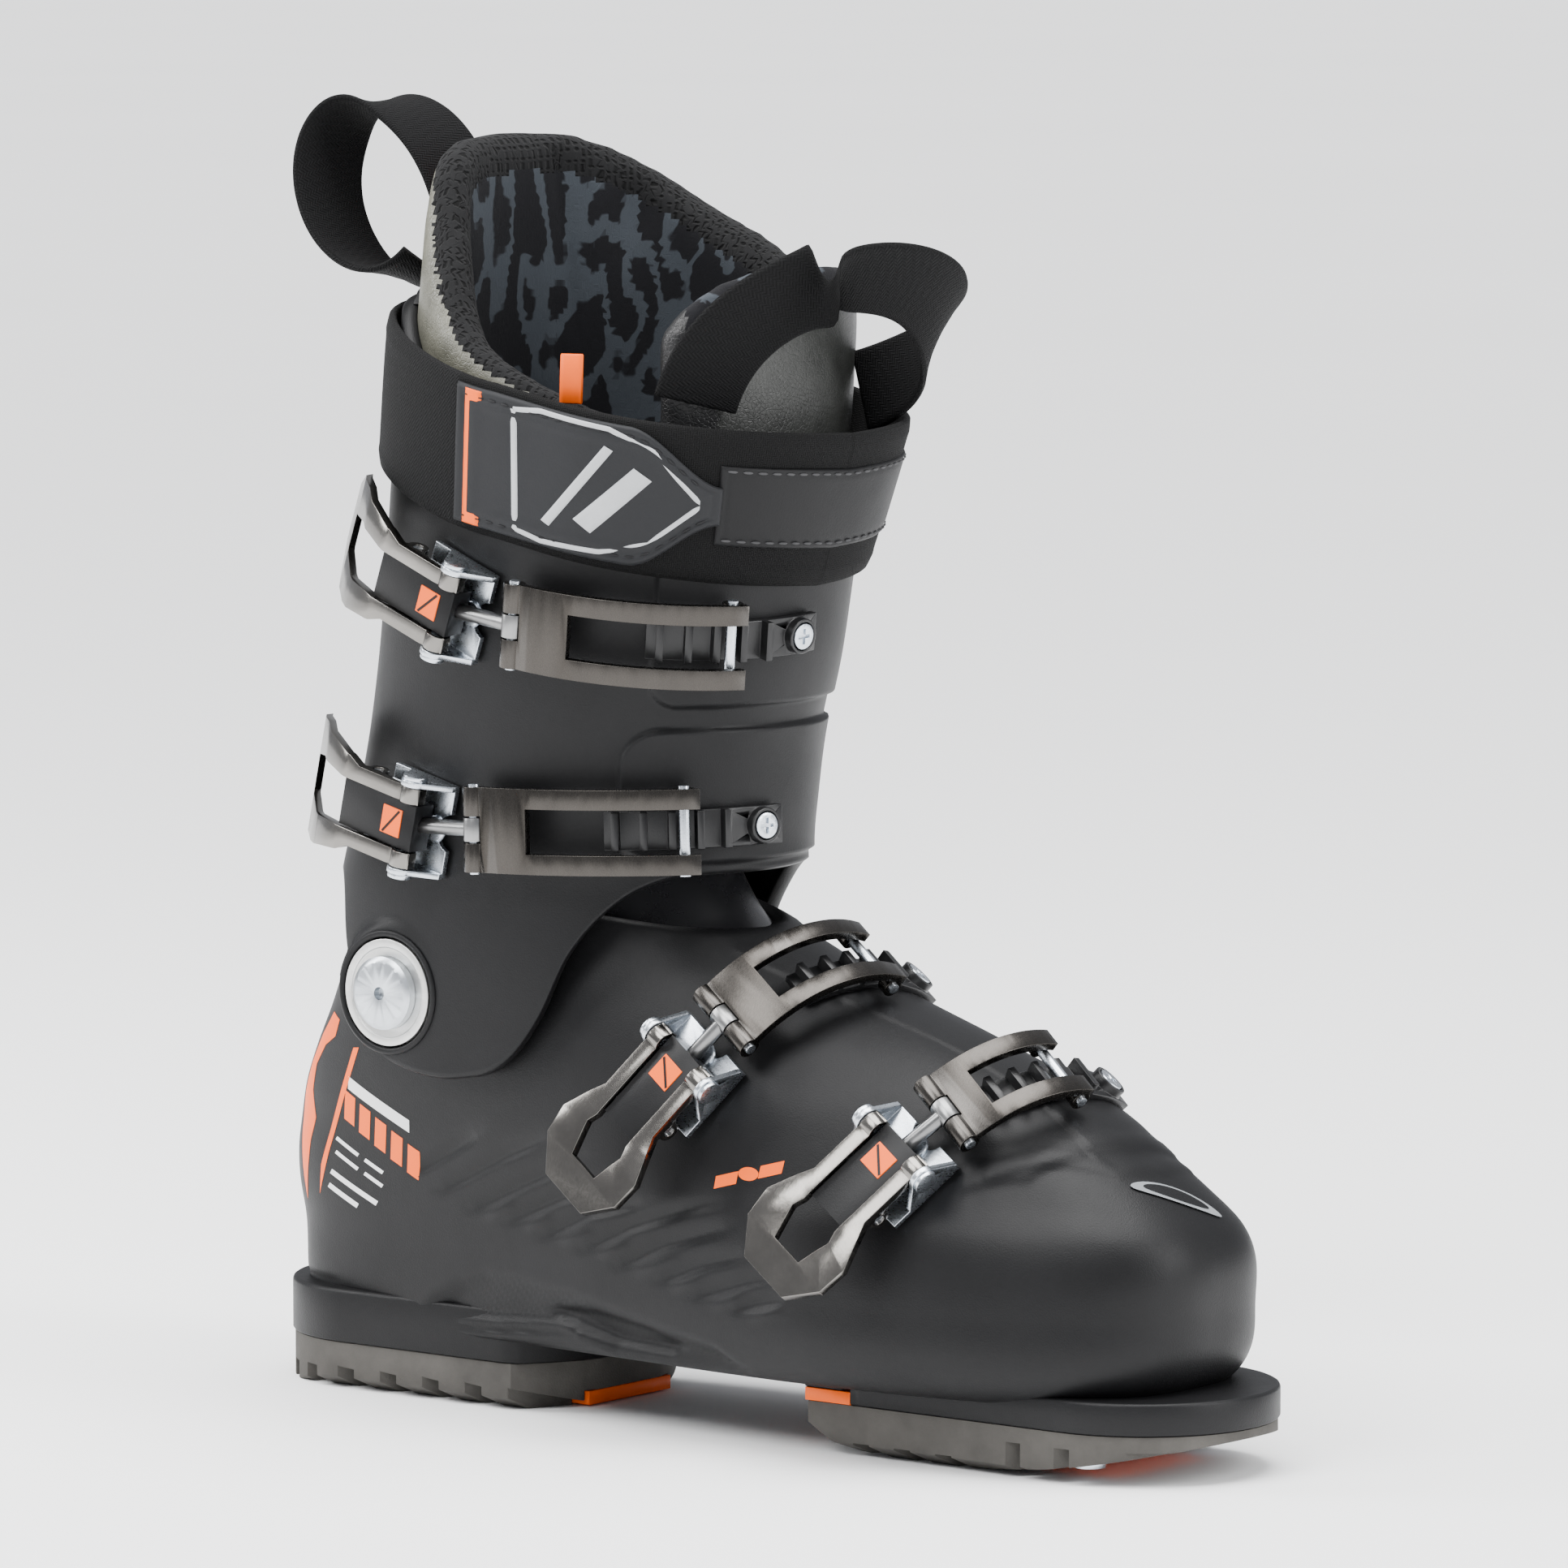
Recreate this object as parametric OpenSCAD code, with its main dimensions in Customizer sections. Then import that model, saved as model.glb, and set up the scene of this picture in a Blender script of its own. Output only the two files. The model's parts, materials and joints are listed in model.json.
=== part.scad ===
// Alpine ski boot for the right foot, closed, standing on its walking soles.
// +X points to the toe, +Y to the inner side of the foot, +Z up. The origin is on the ground
// under the mid-sole mark. The buckles are on the outer side, towards -Y.

/* [Sole] */
// Sole length, from the back of the heel ledge to the front of the toe ledge
sole_len = 305; // [255:1:355]
// Width of the toe and heel blocks
sole_w = 70; // [60:1:80]
// Height of the toe ledge's top, where a binding's toe piece holds it
toe_ledge_h = 21.5; // [18:0.5:26]
// Height of the heel ledge's top, where a binding's heel piece holds it
heel_ledge_h = 26.5; // [22:0.5:32]
// Length of the toe sole
toe_sole_len = 115; // [96:1:138]
// Length of the heel sole
heel_sole_len = 106; // [88:1:127]
// Thickness of the heel sole
heel_sole_t = 12.5; // [10.5:0.5:15]

/* [Shell and cuff] */
// Height of the cuff's back above the ground
cuff_h = 288.5; // [240:0.5:347]
// Outer width of the forefoot
fore_w = 104; // [88:1:124]
// Wall of the lower shell
shell_wall = 4.5; // [3.7:0.1:5.4]
// Wall of the cuff
cuff_wall = 4; // [3.3:0.1:4.8]
// Space between the shell, the cuff and the liner
liner_gap = 1; // [0.8:0.1:1.2]
// Radius of the cant disc at each ankle pivot
disc_r = 14; // [11.7:0.1:16.8]
// Radius of the ankle bolt's shank
bolt_r = 4.5; // [3.8:0.1:5.4]

/* [Liner] */
// Thickness of the liner's foot
foot_pad = 6; // [5:0.5:7.2]
// Thickness of the liner's collar
collar_pad = 10; // [8:0.5:12]
// Thickness of the tongue
tongue_pad = 9; // [7.5:0.5:10.8]

/* [Buckles] */
// Width of a buckle's base, across its ears
base_w = 25; // [22:0.5:30]
// Width of a bail
bail_w = 22; // [19:0.5:26]
// Thickness of a bail's plate
bail_t = 2.4; // [2:0.1:2.9]
// Radius of the lever's pivot rivets
rivet_r = 2; // [1.7:0.1:2.4]
// Radius of the link pin, the bail's hinge pin and its cross pin
pin_r = 1.4; // [1.2:0.1:1.7]
// Height of a rack's teeth
tooth_h = 3.2; // [2.7:0.1:3.9]
// Distance from one rack tooth to the next
tooth_pitch = 7; // [6.2:0.1:8.4]

/* [Straps] */
// Width of the power strap
strap_w = 38; // [32:1:46]
// Width of the webbing in the pull loops
loop_w = 20; // [17:1:24]

/* [Hidden] */
$fn = 48;

// The tables below hold the boot at these sizes, and it is scaled from them.
table_len = 305;
table_h = 292;
table_w = 104;
table_arch = 22;
arch_z = heel_sole_t + 6; // the shell's underside
kx = sole_len / table_len;
ky = fore_w / table_w;
kz = (cuff_h - arch_z) / (table_h - table_arch);
function up(z) = arch_z + (z - table_arch) * kz;

// Sections by height: z, back x, front x, half widths at the heel and the forefoot, and the
// exponents that square off the back and the front.
SHELL = [
    [18, -141, 119, 32, 34, 3.6, 3.0],
    [24, -145, 133, 35.5, 45.5, 3.6, 3.0],
    [32, -145.5, 139, 37, 51.5, 3.6, 3.0],
    [45, -146.5, 141, 38, 52, 3.4, 2.9],
    [56, -149, 142, 38.5, 51, 3.3, 2.8],
    [64, -149.6, 139, 39, 49.5, 3.2, 2.7],
    [72, -149, 131, 40, 47, 3.0, 2.5],
    [82, -147, 117, 41, 44.5, 2.9, 2.4],
    [92, -143, 101, 42, 42, 2.8, 2.3],
    [104, -137, 71, 42.5, 39, 2.7, 2.2],
    [116, -132, 36, 42.5, 37, 2.6, 2.1],
    [126, -129.5, 11, 42.3, 36, 2.5, 2.1],
    [136, -128, -5, 42, 36, 2.4, 2.1],
    [150, -127, -16, 41.5, 36, 2.4, 2.1]];
CUFF = [
    [85, -134, 12, 48.5, 46, 2.6, 2.4],
    [105, -133.5, 10, 48.5, 46, 2.6, 2.4],
    [120, -132.5, 7, 48.5, 46, 2.6, 2.3],
    [135, -130.5, 3, 48, 45.5, 2.5, 2.2],
    [150, -127.5, 0.5, 47, 45.5, 2.4, 2.2],
    [165, -124, 1.4, 47, 46.5, 2.3, 2.2],
    [180, -120, 3, 48, 48, 2.3, 2.2],
    [200, -116.2, 7.5, 49.5, 49.5, 2.3, 2.2],
    [220, -113.4, 10.5, 51, 51, 2.3, 2.2],
    [240, -110.6, 13, 53, 53, 2.3, 2.2],
    [260, -107.8, 15, 55, 55, 2.3, 2.2],
    [280, -105.4, 16, 56, 56, 2.3, 2.2],
    [300, -103, 16.5, 56, 56, 2.3, 2.2],
    [340, -99.5, 17, 55, 55, 2.3, 2.2]];

// Smooth curve through a table whose first column rises.
function segment(tab, z, i = 0) = i >= len(tab) - 2 || z < tab[i + 1][0] ? i : segment(tab, z, i + 1);
function steepness(tab, i) =
    let (a = max(i - 1, 0), b = min(i + 1, len(tab) - 1)) (tab[b] - tab[a]) / (tab[b][0] - tab[a][0]);
function row(tab, z) =
    let (i = segment(tab, z), h = tab[i + 1][0] - tab[i][0], t = (z - tab[i][0]) / h)
    (2 * pow(t, 3) - 3 * t * t + 1) * tab[i] + (pow(t, 3) - 2 * t * t + t) * h * steepness(tab, i)
    + (3 * t * t - 2 * pow(t, 3)) * tab[i + 1] + (pow(t, 3) - t * t) * h * steepness(tab, i + 1);
function at(tab, z) = row(tab, z)[1];
function ease(t) = let (u = min(max(t, 0), 1)) u * u * (3 - 2 * u);
function power(v, e) = sign(v) * pow(abs(v), e);

// A point on a section: phi 0 is the front, 90 the inner side, 180 the back, 270 the outer side.
function skin(tab, z, phi, out = 0) =
    let (r = row(tab, z), xr = kx * r[1] - out, xf = kx * r[2] + out, n = cos(phi) > 0 ? r[6] : r[5],
         x = (xr + xf) / 2 + (xf - xr) / 2 * power(cos(phi), 2 / n),
         wide = ky * (r[3] + (r[4] - r[3]) * ease(((x - xr) / (xf - xr) - 0.15) / 0.6)) + out)
    [x, wide * power(sin(phi), 2 / n), up(z)];
// The same, a depth inside the lower shell's skin, where the toe's top and the instep slope.
function under(z, phi, d) =
    let (k = ease((z - 55) / 20), p = skin(SHELL, z + d * k, phi, -d * (1 - 0.4 * k))) [p.x, p.y, up(z)];
// The angle from the back of the boot, 0 to 180 on either side.
function from_back(phi) = abs(phi - 180);

// Closed meshes from rings of points.
function band(i, j, n) = [for (k = [0:n - 1]) each
    [[i * n + k, i * n + (k + 1) % n, j * n + (k + 1) % n], [i * n + k, j * n + (k + 1) % n, j * n + k]]];
module vessel(rings) { // both ends closed
    n = len(rings[0]);
    m = len(rings);
    polyhedron([for (r = rings) each r], convexity = 8, faces = [
        for (i = [0:m - 2]) each [for (f = band(i, i + 1, n)) [f[2], f[1], f[0]]],
        [for (k = [0:n - 1]) k],
        [for (k = [n - 1:-1:0]) (m - 1) * n + k]]);
}
module tube(rings) { // the last ring joins the first
    n = len(rings[0]);
    m = len(rings);
    polyhedron([for (r = rings) each r], convexity = 8, faces = [
        for (i = [0:m - 1]) each [for (f = band(i, (i + 1) % m, n)) [f[2], f[1], f[0]]]]);
}
// A plate between two grids of points of the same size, its two ends closed strip by strip.
module plate(outer, inner) {
    c = len(outer[0]);
    n = 2 * c;
    last = (len(outer) - 1) * n;
    polyhedron([for (i = [0:len(outer) - 1]) each
        concat(outer[i], [for (j = [c - 1:-1:0]) inner[i][j]])], convexity = 8, faces = [
        for (i = [0:len(outer) - 2]) each band(i, i + 1, n),
        for (k = [0:c - 2]) each [[n - 1 - k, k + 1, k], [n - 1 - k, n - 2 - k, k + 1],
            [last + k, last + k + 1, last + n - 1 - k], [last + k + 1, last + n - 2 - k, last + n - 1 - k]]]);
}

// --- lower shell --------------------------------------------------------------------------
floor_t = 4.5;
floor_z = arch_z + floor_t;
table_floor = table_arch + floor_t;
shell_levels = [29, 37, 46, 55, 62, 68, 74, 81, 89, 97, 105, 113, 121, 128];
function shell_rim(phi) = at([[0, 139], [35, 139], [60, 135], [115, 134], [145, 131], [180, 130]], from_back(phi));
shell_phis = [for (i = [0:47]) i * 7.5];

toe_x = sole_len / 2;
heel_x = -sole_len / 2;
toe_sole_x = toe_x - toe_sole_len;
heel_sole_x = heel_x + heel_sole_len;
// Bottom and top of the toe sole, from its back to the toe: the sole rocks up at both ends.
rocker_back = 8;
rocker_front = 11;
function toe_low(s) = rocker_back * pow(max(0, 1 - s / 0.2), 2) + rocker_front * pow(max(0, (s - 0.38) / 0.62), 1.5);
toe_high = toe_ledge_h - 8.3;

module plan_toe(grow = 0) {
    r = sole_w / 2 + grow;
    translate([toe_x - sole_w / 2, 0]) circle(r);
    translate([toe_sole_x - grow, -r]) square([toe_sole_len - sole_w / 2 + grow, 2 * r]);
}
module plan_heel(grow = 0) {
    r = sole_w / 2 + grow;
    corner_r = 50 + grow; // this circle rounds the two front corners
    translate([heel_x + sole_w / 2, 0]) circle(r);
    intersection() {
        translate([heel_x + sole_w / 2, -r]) square([heel_sole_len - sole_w / 2 + grow, 2 * r]);
        translate([heel_sole_x - corner_r + 2 + 2 * grow, 0]) circle(corner_r, $fn = 96);
    }
}
module side(w) { rotate([90, 0, 0]) linear_extrude(w, center = true) children(); }
toe_steps = 16;
function toe_edge(from, to) = [for (i = [from:sign(to - from):to])
    [toe_sole_x + toe_sole_len * i / toe_steps, toe_low(i / toe_steps)]];

module toe_block() {
    difference() {
        translate([0, 0, toe_high]) linear_extrude(toe_ledge_h - toe_high) plan_toe();
        translate([toe_sole_x - 1, -sole_w, toe_high - 1]) cube([shim_len + 1, 2 * sole_w, shim_t + 1]);
    }
}
module heel_block() {
    translate([0, 0, heel_sole_t]) linear_extrude(heel_ledge_h - heel_sole_t) plan_heel();
}

pivot_z = 112;
pivot_x = -90;
// The cant disc's boss, its faces counted outwards from the boot's middle
boss_in = skin(CUFF, pivot_z, 270).y * -1 - cuff_wall - 1;
boss_out = boss_in + 5.4;
pivot = [kx * pivot_x, 0, up(pivot_z)];
hole_play = 0.35;
module across(from, to, r) { // a cylinder on each side of the boot, along the ankle axis
    for (s = [-1, 1]) translate([pivot.x, s * from, pivot.z]) rotate([-90 * s, 0, 0]) cylinder(to - from, r, r);
}
// Holes are drawn as the hull of their two ends, so that the shell's mesh is cut as one mesh.
module drill(h, r) { hull() { cylinder(0.1, r, r, $fn = 24); translate([0, 0, h - 0.1]) cylinder(0.1, r, r, $fn = 24); } }

sole_screw_r = 2.2;
sole_screw_at = [
    for (s = [-1, 1]) each [[toe_sole_x + 17.5, s * 22], [toe_sole_x + 0.72 * toe_sole_len, s * 25.5]],
    for (s = [-1, 1]) [heel_sole_x - 16, s * 22],
    [heel_x + 17, 0]];

module lower_shell() {
    color([0.16, 0.16, 0.17]) difference() {
        union() {
            vessel(concat(
                [for (z = [table_arch, each shell_levels]) [for (p = shell_phis) skin(SHELL, z, p)]],
                [[for (p = shell_phis) skin(SHELL, shell_rim(p), p)]],
                [[for (p = shell_phis) let (z = shell_rim(p)) under(z, p, shell_wall)]],
                [for (i = [len(shell_levels) - 1:-1:0]) [for (p = shell_phis) under(shell_levels[i], p, shell_wall)]],
                [[for (p = shell_phis) let (q = under(table_floor, p, shell_wall)) [q.x, q.y, floor_z]]]));
            difference() {
                union() {
                    toe_block();
                    heel_block();
                }
                // the blocks stop inside the shell's wall and floor
                vessel([for (z = [table_arch + floor_t / 2, 30, 38])
                    [for (p = shell_phis) under(z, p, shell_wall / 2)]]);
            }
        }
        for (s = [-1, 1]) {
            translate([pivot.x, s * 30, pivot.z]) rotate([-90 * s, 0, 0]) drill(30, bolt_r + hole_play);
            translate([pivot.x, s * 30, pivot.z]) rotate([-90 * s, 0, 0]) drill(nut_seat - 30, nut_r + hole_play);
        }
        for (k = [3, 4]) {
            on_buckle(k) base_holes() translate([0, 0, -12]) drill(20, base_rivet_r + hole_play);
            on_buckle(k) turned(k) at_rack_screw(k) translate([0, 0, -rack_t - 8]) drill(10, rack_screw_r + hole_play);
        }
        for (p = sole_screw_at) translate([p.x, p.y, -1]) drill(floor_z - 3, sole_screw_r + hole_play);
    }
}
nut_r = 8;
nut_t = 1.5;
nut_seat = -skin(SHELL, pivot_z, 270).y - shell_wall * 0.6 - 1.3;

// --- soles --------------------------------------------------------------------------------
sole_play = 0.15;
plate_w = 40;
plate_t = 3.6;
plate_steps = [7, 12]; // the rocker steps it runs between
lug_chamfer = 3.5;
module lug_chamfers(from, to) { // slopes the two long lower edges in
    for (s = [-1, 1]) translate([(from + to) / 2, s * (sole_w / 2 + 1), 0]) rotate([s * 28, 0, 0])
        cube([to - from + 40, 16, 2 * lug_chamfer], center = true);
}
module toe_sole() {
    color([0.36, 0.35, 0.34]) difference() {
        intersection() {
            translate([0, 0, -1]) linear_extrude(toe_ledge_h) plan_toe(-0.6);
            side(2 * sole_w) polygon(concat(toe_edge(0, toe_steps),
                [[toe_x, toe_high - sole_play], [toe_sole_x, toe_high - sole_play]]));
        }
        for (i = [0:3]) for (s = [-1, 1])
            translate([toe_sole_x + 9 + 13 * i, s * 26, -2]) rotate([0, 0, s * 28]) cube([4.5, 30, 11], center = true);
        for (i = [0:2]) for (s = [-1, 1])
            translate([toe_x - 16 - 15 * i, s * 30, 3]) rotate([0, 0, s * 40]) cube([3.5, 24, 12], center = true);
        side(plate_w + 0.4) polygon(concat([for (p = toe_edge(plate_steps[0], plate_steps[1])) p - [0, 3]],
            [for (p = toe_edge(plate_steps[1], plate_steps[0])) p + [0, plate_t + 0.7]]));
        lug_chamfers(toe_sole_x, toe_x);
        for (p = sole_screw_at) if (p.x > 0) {
            translate([p.x, p.y, -1]) cylinder(30, sole_screw_r + 0.2, sole_screw_r + 0.2);
            translate([p.x, p.y, -1]) cylinder(7, 4.4, 4.4);
        }
    }
}
module heel_sole() {
    color([0.36, 0.35, 0.34]) difference() {
        linear_extrude(heel_sole_t - sole_play) plan_heel(-0.6);
        for (i = [0:5]) for (s = [-1, 1])
            translate([heel_x + 24 + 14.5 * i, s * 30, 0]) rotate([s * 12, 0, s * 24]) cube([5, 32, 9], center = true);
        for (a = [-50, 0, 50]) translate([heel_x + sole_w / 2, 0, 0]) rotate([0, 0, 180 + a])
            translate([sole_w / 2, 0, 0]) cube([20, 5, 9], center = true);
        translate([heel_sole_x - 14.2, -17.2, -1]) cube([20, 34.4, 5.2]);
        lug_chamfers(heel_x, heel_sole_x);
        for (p = sole_screw_at) if (p.x < 0) {
            translate([p.x, p.y, -1]) cylinder(30, sole_screw_r + 0.2, sole_screw_r + 0.2);
            translate([p.x, p.y, -1]) cylinder(7, 4.4, 4.4);
        }
    }
}
module toe_plate() { // the smooth pad that a binding's toe piece slides on
    low = toe_edge(plate_steps[0], plate_steps[1]);
    high = toe_edge(plate_steps[1], plate_steps[0]);
    color([0.95, 0.42, 0.08]) side(plate_w) polygon(concat([for (p = low) p + [0, 0.6]],
        [for (p = high) p + [0, 0.6 + plate_t]]));
}
shim_t = 3.4;
shim_len = 14.5;
module toe_shim() { // packing strip in a notch of the toe block, on top of the toe sole
    color([0.95, 0.42, 0.08]) translate([toe_sole_x, -sole_w / 2, toe_high + 0.05])
        cube([shim_len - 0.1, sole_w, shim_t - 0.1]);
}
module heel_plate() {
    color([0.95, 0.42, 0.08]) translate([heel_sole_x - 14, -17, 0.5]) cube([13, 34, 3.6]);
}
module sole_screws() {
    color("silver") for (p = sole_screw_at) translate([p.x, p.y, 0]) difference() {
        union() {
            translate([0, 0, 3.6]) cylinder(2.2, 4.1, 4.1);
            translate([0, 0, 3.6]) cylinder(arch_z - 6, sole_screw_r, sole_screw_r);
        }
        for (a = [0, 90]) rotate([0, 0, a]) translate([0, 0, 3.6]) cube([5, 1, 1.8], center = true);
    }
}

// --- inside the shell ---------------------------------------------------------------------
board_t = 3;
board_top = floor_z + board_t + 0.1;
module boot_board() {
    color("dimgray") vessel([for (z = [floor_z + 0.1, board_top])
        [for (p = shell_phis) let (q = under(table_floor + z - floor_z, p, shell_wall + liner_gap)) [q.x, q.y, z]]]);
}
liner_low = board_top + 0.3;
liner_levels = [for (z = shell_levels) if (z > 32 && z < 118) z];
function foot_rim(phi) = at([[0, 138], [35, 138], [60, 132], [100, 124], [125, 110], [180, 110]], from_back(phi));
function foot_z(z, phi) = min(z, foot_rim(phi) - (118 - z) / 20);
module liner_foot() {
    skin_d = shell_wall + liner_gap;
    color([0.12, 0.12, 0.13]) difference() {
        vessel(concat(
        [[for (p = shell_phis) let (q = under(table_floor + board_t, p, skin_d)) [q.x, q.y, liner_low]]],
        [for (z = liner_levels) [for (p = shell_phis) under(foot_z(z, p), p, skin_d)]],
        [[for (p = shell_phis) under(foot_rim(p), p, skin_d)]],
        [[for (p = shell_phis) under(foot_rim(p), p, skin_d + foot_pad)]],
        [for (i = [len(liner_levels) - 1:-1:0])
            [for (p = shell_phis) under(foot_z(liner_levels[i], p), p, skin_d + foot_pad)]],
        [[for (p = shell_phis) let (q = under(36, p, skin_d + foot_pad)) [q.x, q.y, liner_low + 3]]]));
        across(nut_seat - nut_t - 0.4, nut_seat + 8, nut_r + 1);
    }
}
gaiter_t = 1.2;
module instep_gaiter() { // soft seal over the instep, between the shell's rim and the cuff
    cols = [for (i = [-7:7]) 7.5 * i];
    function rows(p) = [113, 121, 128, shell_rim(p), shell_rim(p) + 5];
    color([0.13, 0.13, 0.14]) plate(
        [for (p = cols) [for (z = rows(p)) under(z, p, shell_wall + 0.3)]],
        [for (p = cols) [for (z = rows(p)) under(z, p, shell_wall + 0.3 + gaiter_t)]]);
}
module footbed() {
    d = shell_wall + liner_gap + foot_pad + 1.5;
    color([0.55, 0.2, 0.1]) vessel([for (z = [liner_low + 3.1, liner_low + 6])
        [for (p = shell_phis) let (q = under(38, p, d)) [q.x, q.y, z]]]);
}

// --- cuff ---------------------------------------------------------------------------------
cuff_phis = [for (i = [0:71]) i * 5];
function cuff_low(phi) = at([[0, 141], [36, 141], [46, 136], [54, 122], [60, 109], [66, 99], [72, 94.5],
    [80, 92], [88, 92], [95, 97], [103, 109], [113, 126], [128, 140], [143, 146], [160, 147], [180, 147]],
    from_back(phi));
function cuff_top(phi) = at([[0, 292], [35, 289], [65, 272], [90, 259], [120, 247], [150, 240], [180, 238]],
    from_back(phi));
cuff_steps = 15;
function cuff_z(phi, s) = cuff_low(phi) + (cuff_top(phi) - cuff_low(phi)) * s;

module cuff() {
    color([0.16, 0.16, 0.17]) difference() {
        union() {
            tube(concat(
                [for (i = [0:cuff_steps]) [for (p = cuff_phis) skin(CUFF, cuff_z(p, i / cuff_steps), p)]],
                [for (i = [cuff_steps:-1.5:0]) [for (p = cuff_phis) skin(CUFF, cuff_z(p, i / cuff_steps), p, -cuff_wall)]]));
            across(boss_in, boss_out, disc_r + 2.6);
            for (f = flaps) flap(f);
        }
        for (s = [-1, 1]) {
            translate([pivot.x, s * (boss_in - 12), pivot.z]) rotate([-90 * s, 0, 0]) drill(30, bolt_r + 1.2);
            translate([pivot.x, s * (boss_out - disc_t), pivot.z]) rotate([-90 * s, 0, 0]) drill(14, disc_r + 0.3);
        }
        for (k = [1, 2]) {
            on_buckle(k) base_holes() translate([0, 0, -12]) drill(20, base_rivet_r + hole_play);
            on_buckle(k) turned(k) at_rack_screw(k) translate([0, 0, -rack_t - 8]) drill(10, rack_screw_r + hole_play);
        }
        for (p = rear_screw_at) translate(p) rotate([0, rear_lean - 90, 0]) translate([0, 0, -20]) drill(30, 2.5);
    }
}
// The overlap flaps that come round the front from the inner side: z range and end angle
flap_t = 1.6;
flaps = [[149.5, 184, 308], [190, 232, 313]];
module flap(f) {
    cols = [for (i = [0:12]) f[2] + (407 - f[2]) * i / 12];
    rows = [for (j = [0:4]) f[0] + (f[1] - f[0]) * j / 4];
    plate([for (p = cols) [for (z = rows) skin(CUFF, z, p, flap_t)]],
          [for (p = cols) [for (z = rows) skin(CUFF, z, p, -1)]]);
}
rear_screw_at = [for (z = [165, 196]) skin(CUFF, z, 180)];
rear_lean = 13; // of the cuff's back
module rear_screws() {
    color("silver") for (p = rear_screw_at) translate(p) rotate([0, rear_lean - 90, 0]) difference() {
        union() {
            translate([0, 0, 0.6]) cylinder(2, 4.5, 4.5);
            translate([0, 0, -cuff_wall]) cylinder(cuff_wall + 1, 2.2, 2.2);
        }
        translate([0, 0, 1.4]) cylinder(2, 1.8, 1.8, $fn = 6);
    }
}

// --- ankle pivots -------------------------------------------------------------------------
disc_t = 2.8;
disc_play = 0.06;
module pivot_discs() {
    color([0.86, 0.86, 0.84]) difference() {
        across(boss_out - disc_t + 0.05, boss_out + 0.5, disc_r);
        across(boss_out - 10, boss_out + 10, bolt_r + disc_play);
        across(boss_out + 0.1, boss_out + 10, disc_r - 2.2);
    }
}
bolt_in = nut_seat;
module pivot_bolts() {
    color([0.8, 0.82, 0.84]) difference() {
        union() {
            across(bolt_in, boss_out + 1, bolt_r);
            across(boss_out + 0.2, boss_out + 2.4, disc_r - 4.4);
            for (s = [-1, 1]) translate([pivot.x, s * (boss_out + 2.4), pivot.z]) rotate([-90 * s, 0, 0])
                cylinder(1, disc_r - 4.4, disc_r - 6);
        }
        across(boss_out + 1.4, boss_out + 9, 1.7);
        across(bolt_in - 1, boss_out - 6, nut_bore);
    }
}
nut_bore = 2.6;
module pivot_nuts() {
    color("silver") union() {
        across(nut_seat - nut_t, nut_seat - 0.05, nut_r);
        across(nut_seat - nut_t, nut_seat + 4, nut_bore - 0.1);
    }
}

// --- soft upper ---------------------------------------------------------------------------
collar_d = cuff_wall + liner_gap;
collar_phis = [for (i = [0:32]) 53 + 8 * i * 254 / 256];
function collar_low(phi) = at([[0, 143.5], [60, 143.5], [90, 145], [130, 149]], from_back(phi));
// The collar's rim is high at the back and on the inner side, and dips on the outer side.
function collar_top(phi) = phi < 180
    ? at([[0, 333], [30, 331], [60, 322], [90, 308], [110, 296], [130, 284]], from_back(phi))
    : at([[0, 333], [30, 328], [50, 308], [70, 288], [90, 276], [110, 268], [130, 262]], from_back(phi));
collar_steps = 14;
function collar_z(p, i) = collar_low(p) + (collar_top(p) - collar_low(p)) * i / collar_steps;
module liner_cuff() {
    color([0.12, 0.12, 0.13]) plate(
        [for (p = collar_phis) [for (i = [0:collar_steps]) skin(CUFF, collar_z(p, i), p, -collar_d)]],
        [for (p = collar_phis) [for (i = [0:collar_steps]) skin(CUFF, collar_z(p, i), p, -collar_d - collar_pad)]]);
}
tongue_phis = [for (i = [-8:8]) 6 * i];
function tongue_top(phi) = 302 - 16 * pow(abs(phi) / 48, 3);
tongue_low = 149;
tongue_steps = 14;
module liner_tongue() {
    function z(p, i) = tongue_low + (tongue_top(p) - tongue_low) * i / tongue_steps;
    color([0.1, 0.1, 0.11]) plate(
        [for (p = tongue_phis) [for (i = [0:tongue_steps]) skin(CUFF, z(p, i), p, -collar_d)]],
        [for (p = tongue_phis) [for (i = [0:tongue_steps]) skin(CUFF, z(p, i), p, -collar_d - tongue_pad)]]);
}
// The spoiler fills the space behind the collar, above the cuff's back.
module rear_spoiler() {
    cols = [for (i = [-5:5]) 180 + 7 * i];
    function top(p) = 300 - 8 * pow(from_back(p) / 35, 2);
    color([0.08, 0.08, 0.08]) plate(
        [for (p = cols) [for (z = [cuff_top(p) + 0.6, top(p) - 2]) skin(CUFF, z, p, -collar_d + 2.5)]],
        [for (p = cols) [for (z = [cuff_top(p) + 0.6, top(p) - 2]) skin(CUFF, z, p, -collar_d + 0.6)]]);
}

// --- power strap --------------------------------------------------------------------------
strap_t = 2.2;
strap_gap = 1.2;
// The strap leans with the leg: its lower edge by angle from the back
function strap_low(phi) = at([[0, 252], [40, 249], [90, 234], [120, 227], [150, 223], [180, 221]], from_back(phi));
function strap_flare(phi) = 7 * ease((from_back(phi) - 100) / 60);
function strap_pt(phi, s, out) =
    skin(CUFF, strap_low(phi) + strap_w * s, phi, strap_gap + strap_clear(phi) + strap_flare(phi) * s + out);
function strap_clear(phi) = flap_t * ease((from_back(phi) - 96) / 20);
module power_strap() {
    color([0.15, 0.15, 0.15]) tube([
        for (s = [0, 0.5, 1]) [for (p = cuff_phis) strap_pt(p, s, strap_t)],
        for (s = [1, 0.5, 0]) [for (p = cuff_phis) strap_pt(p, s, 0)]]);
}
patch_phis = [for (i = [0:10]) 263 + 6.4 * i];
patch_t = 1.5;
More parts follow.
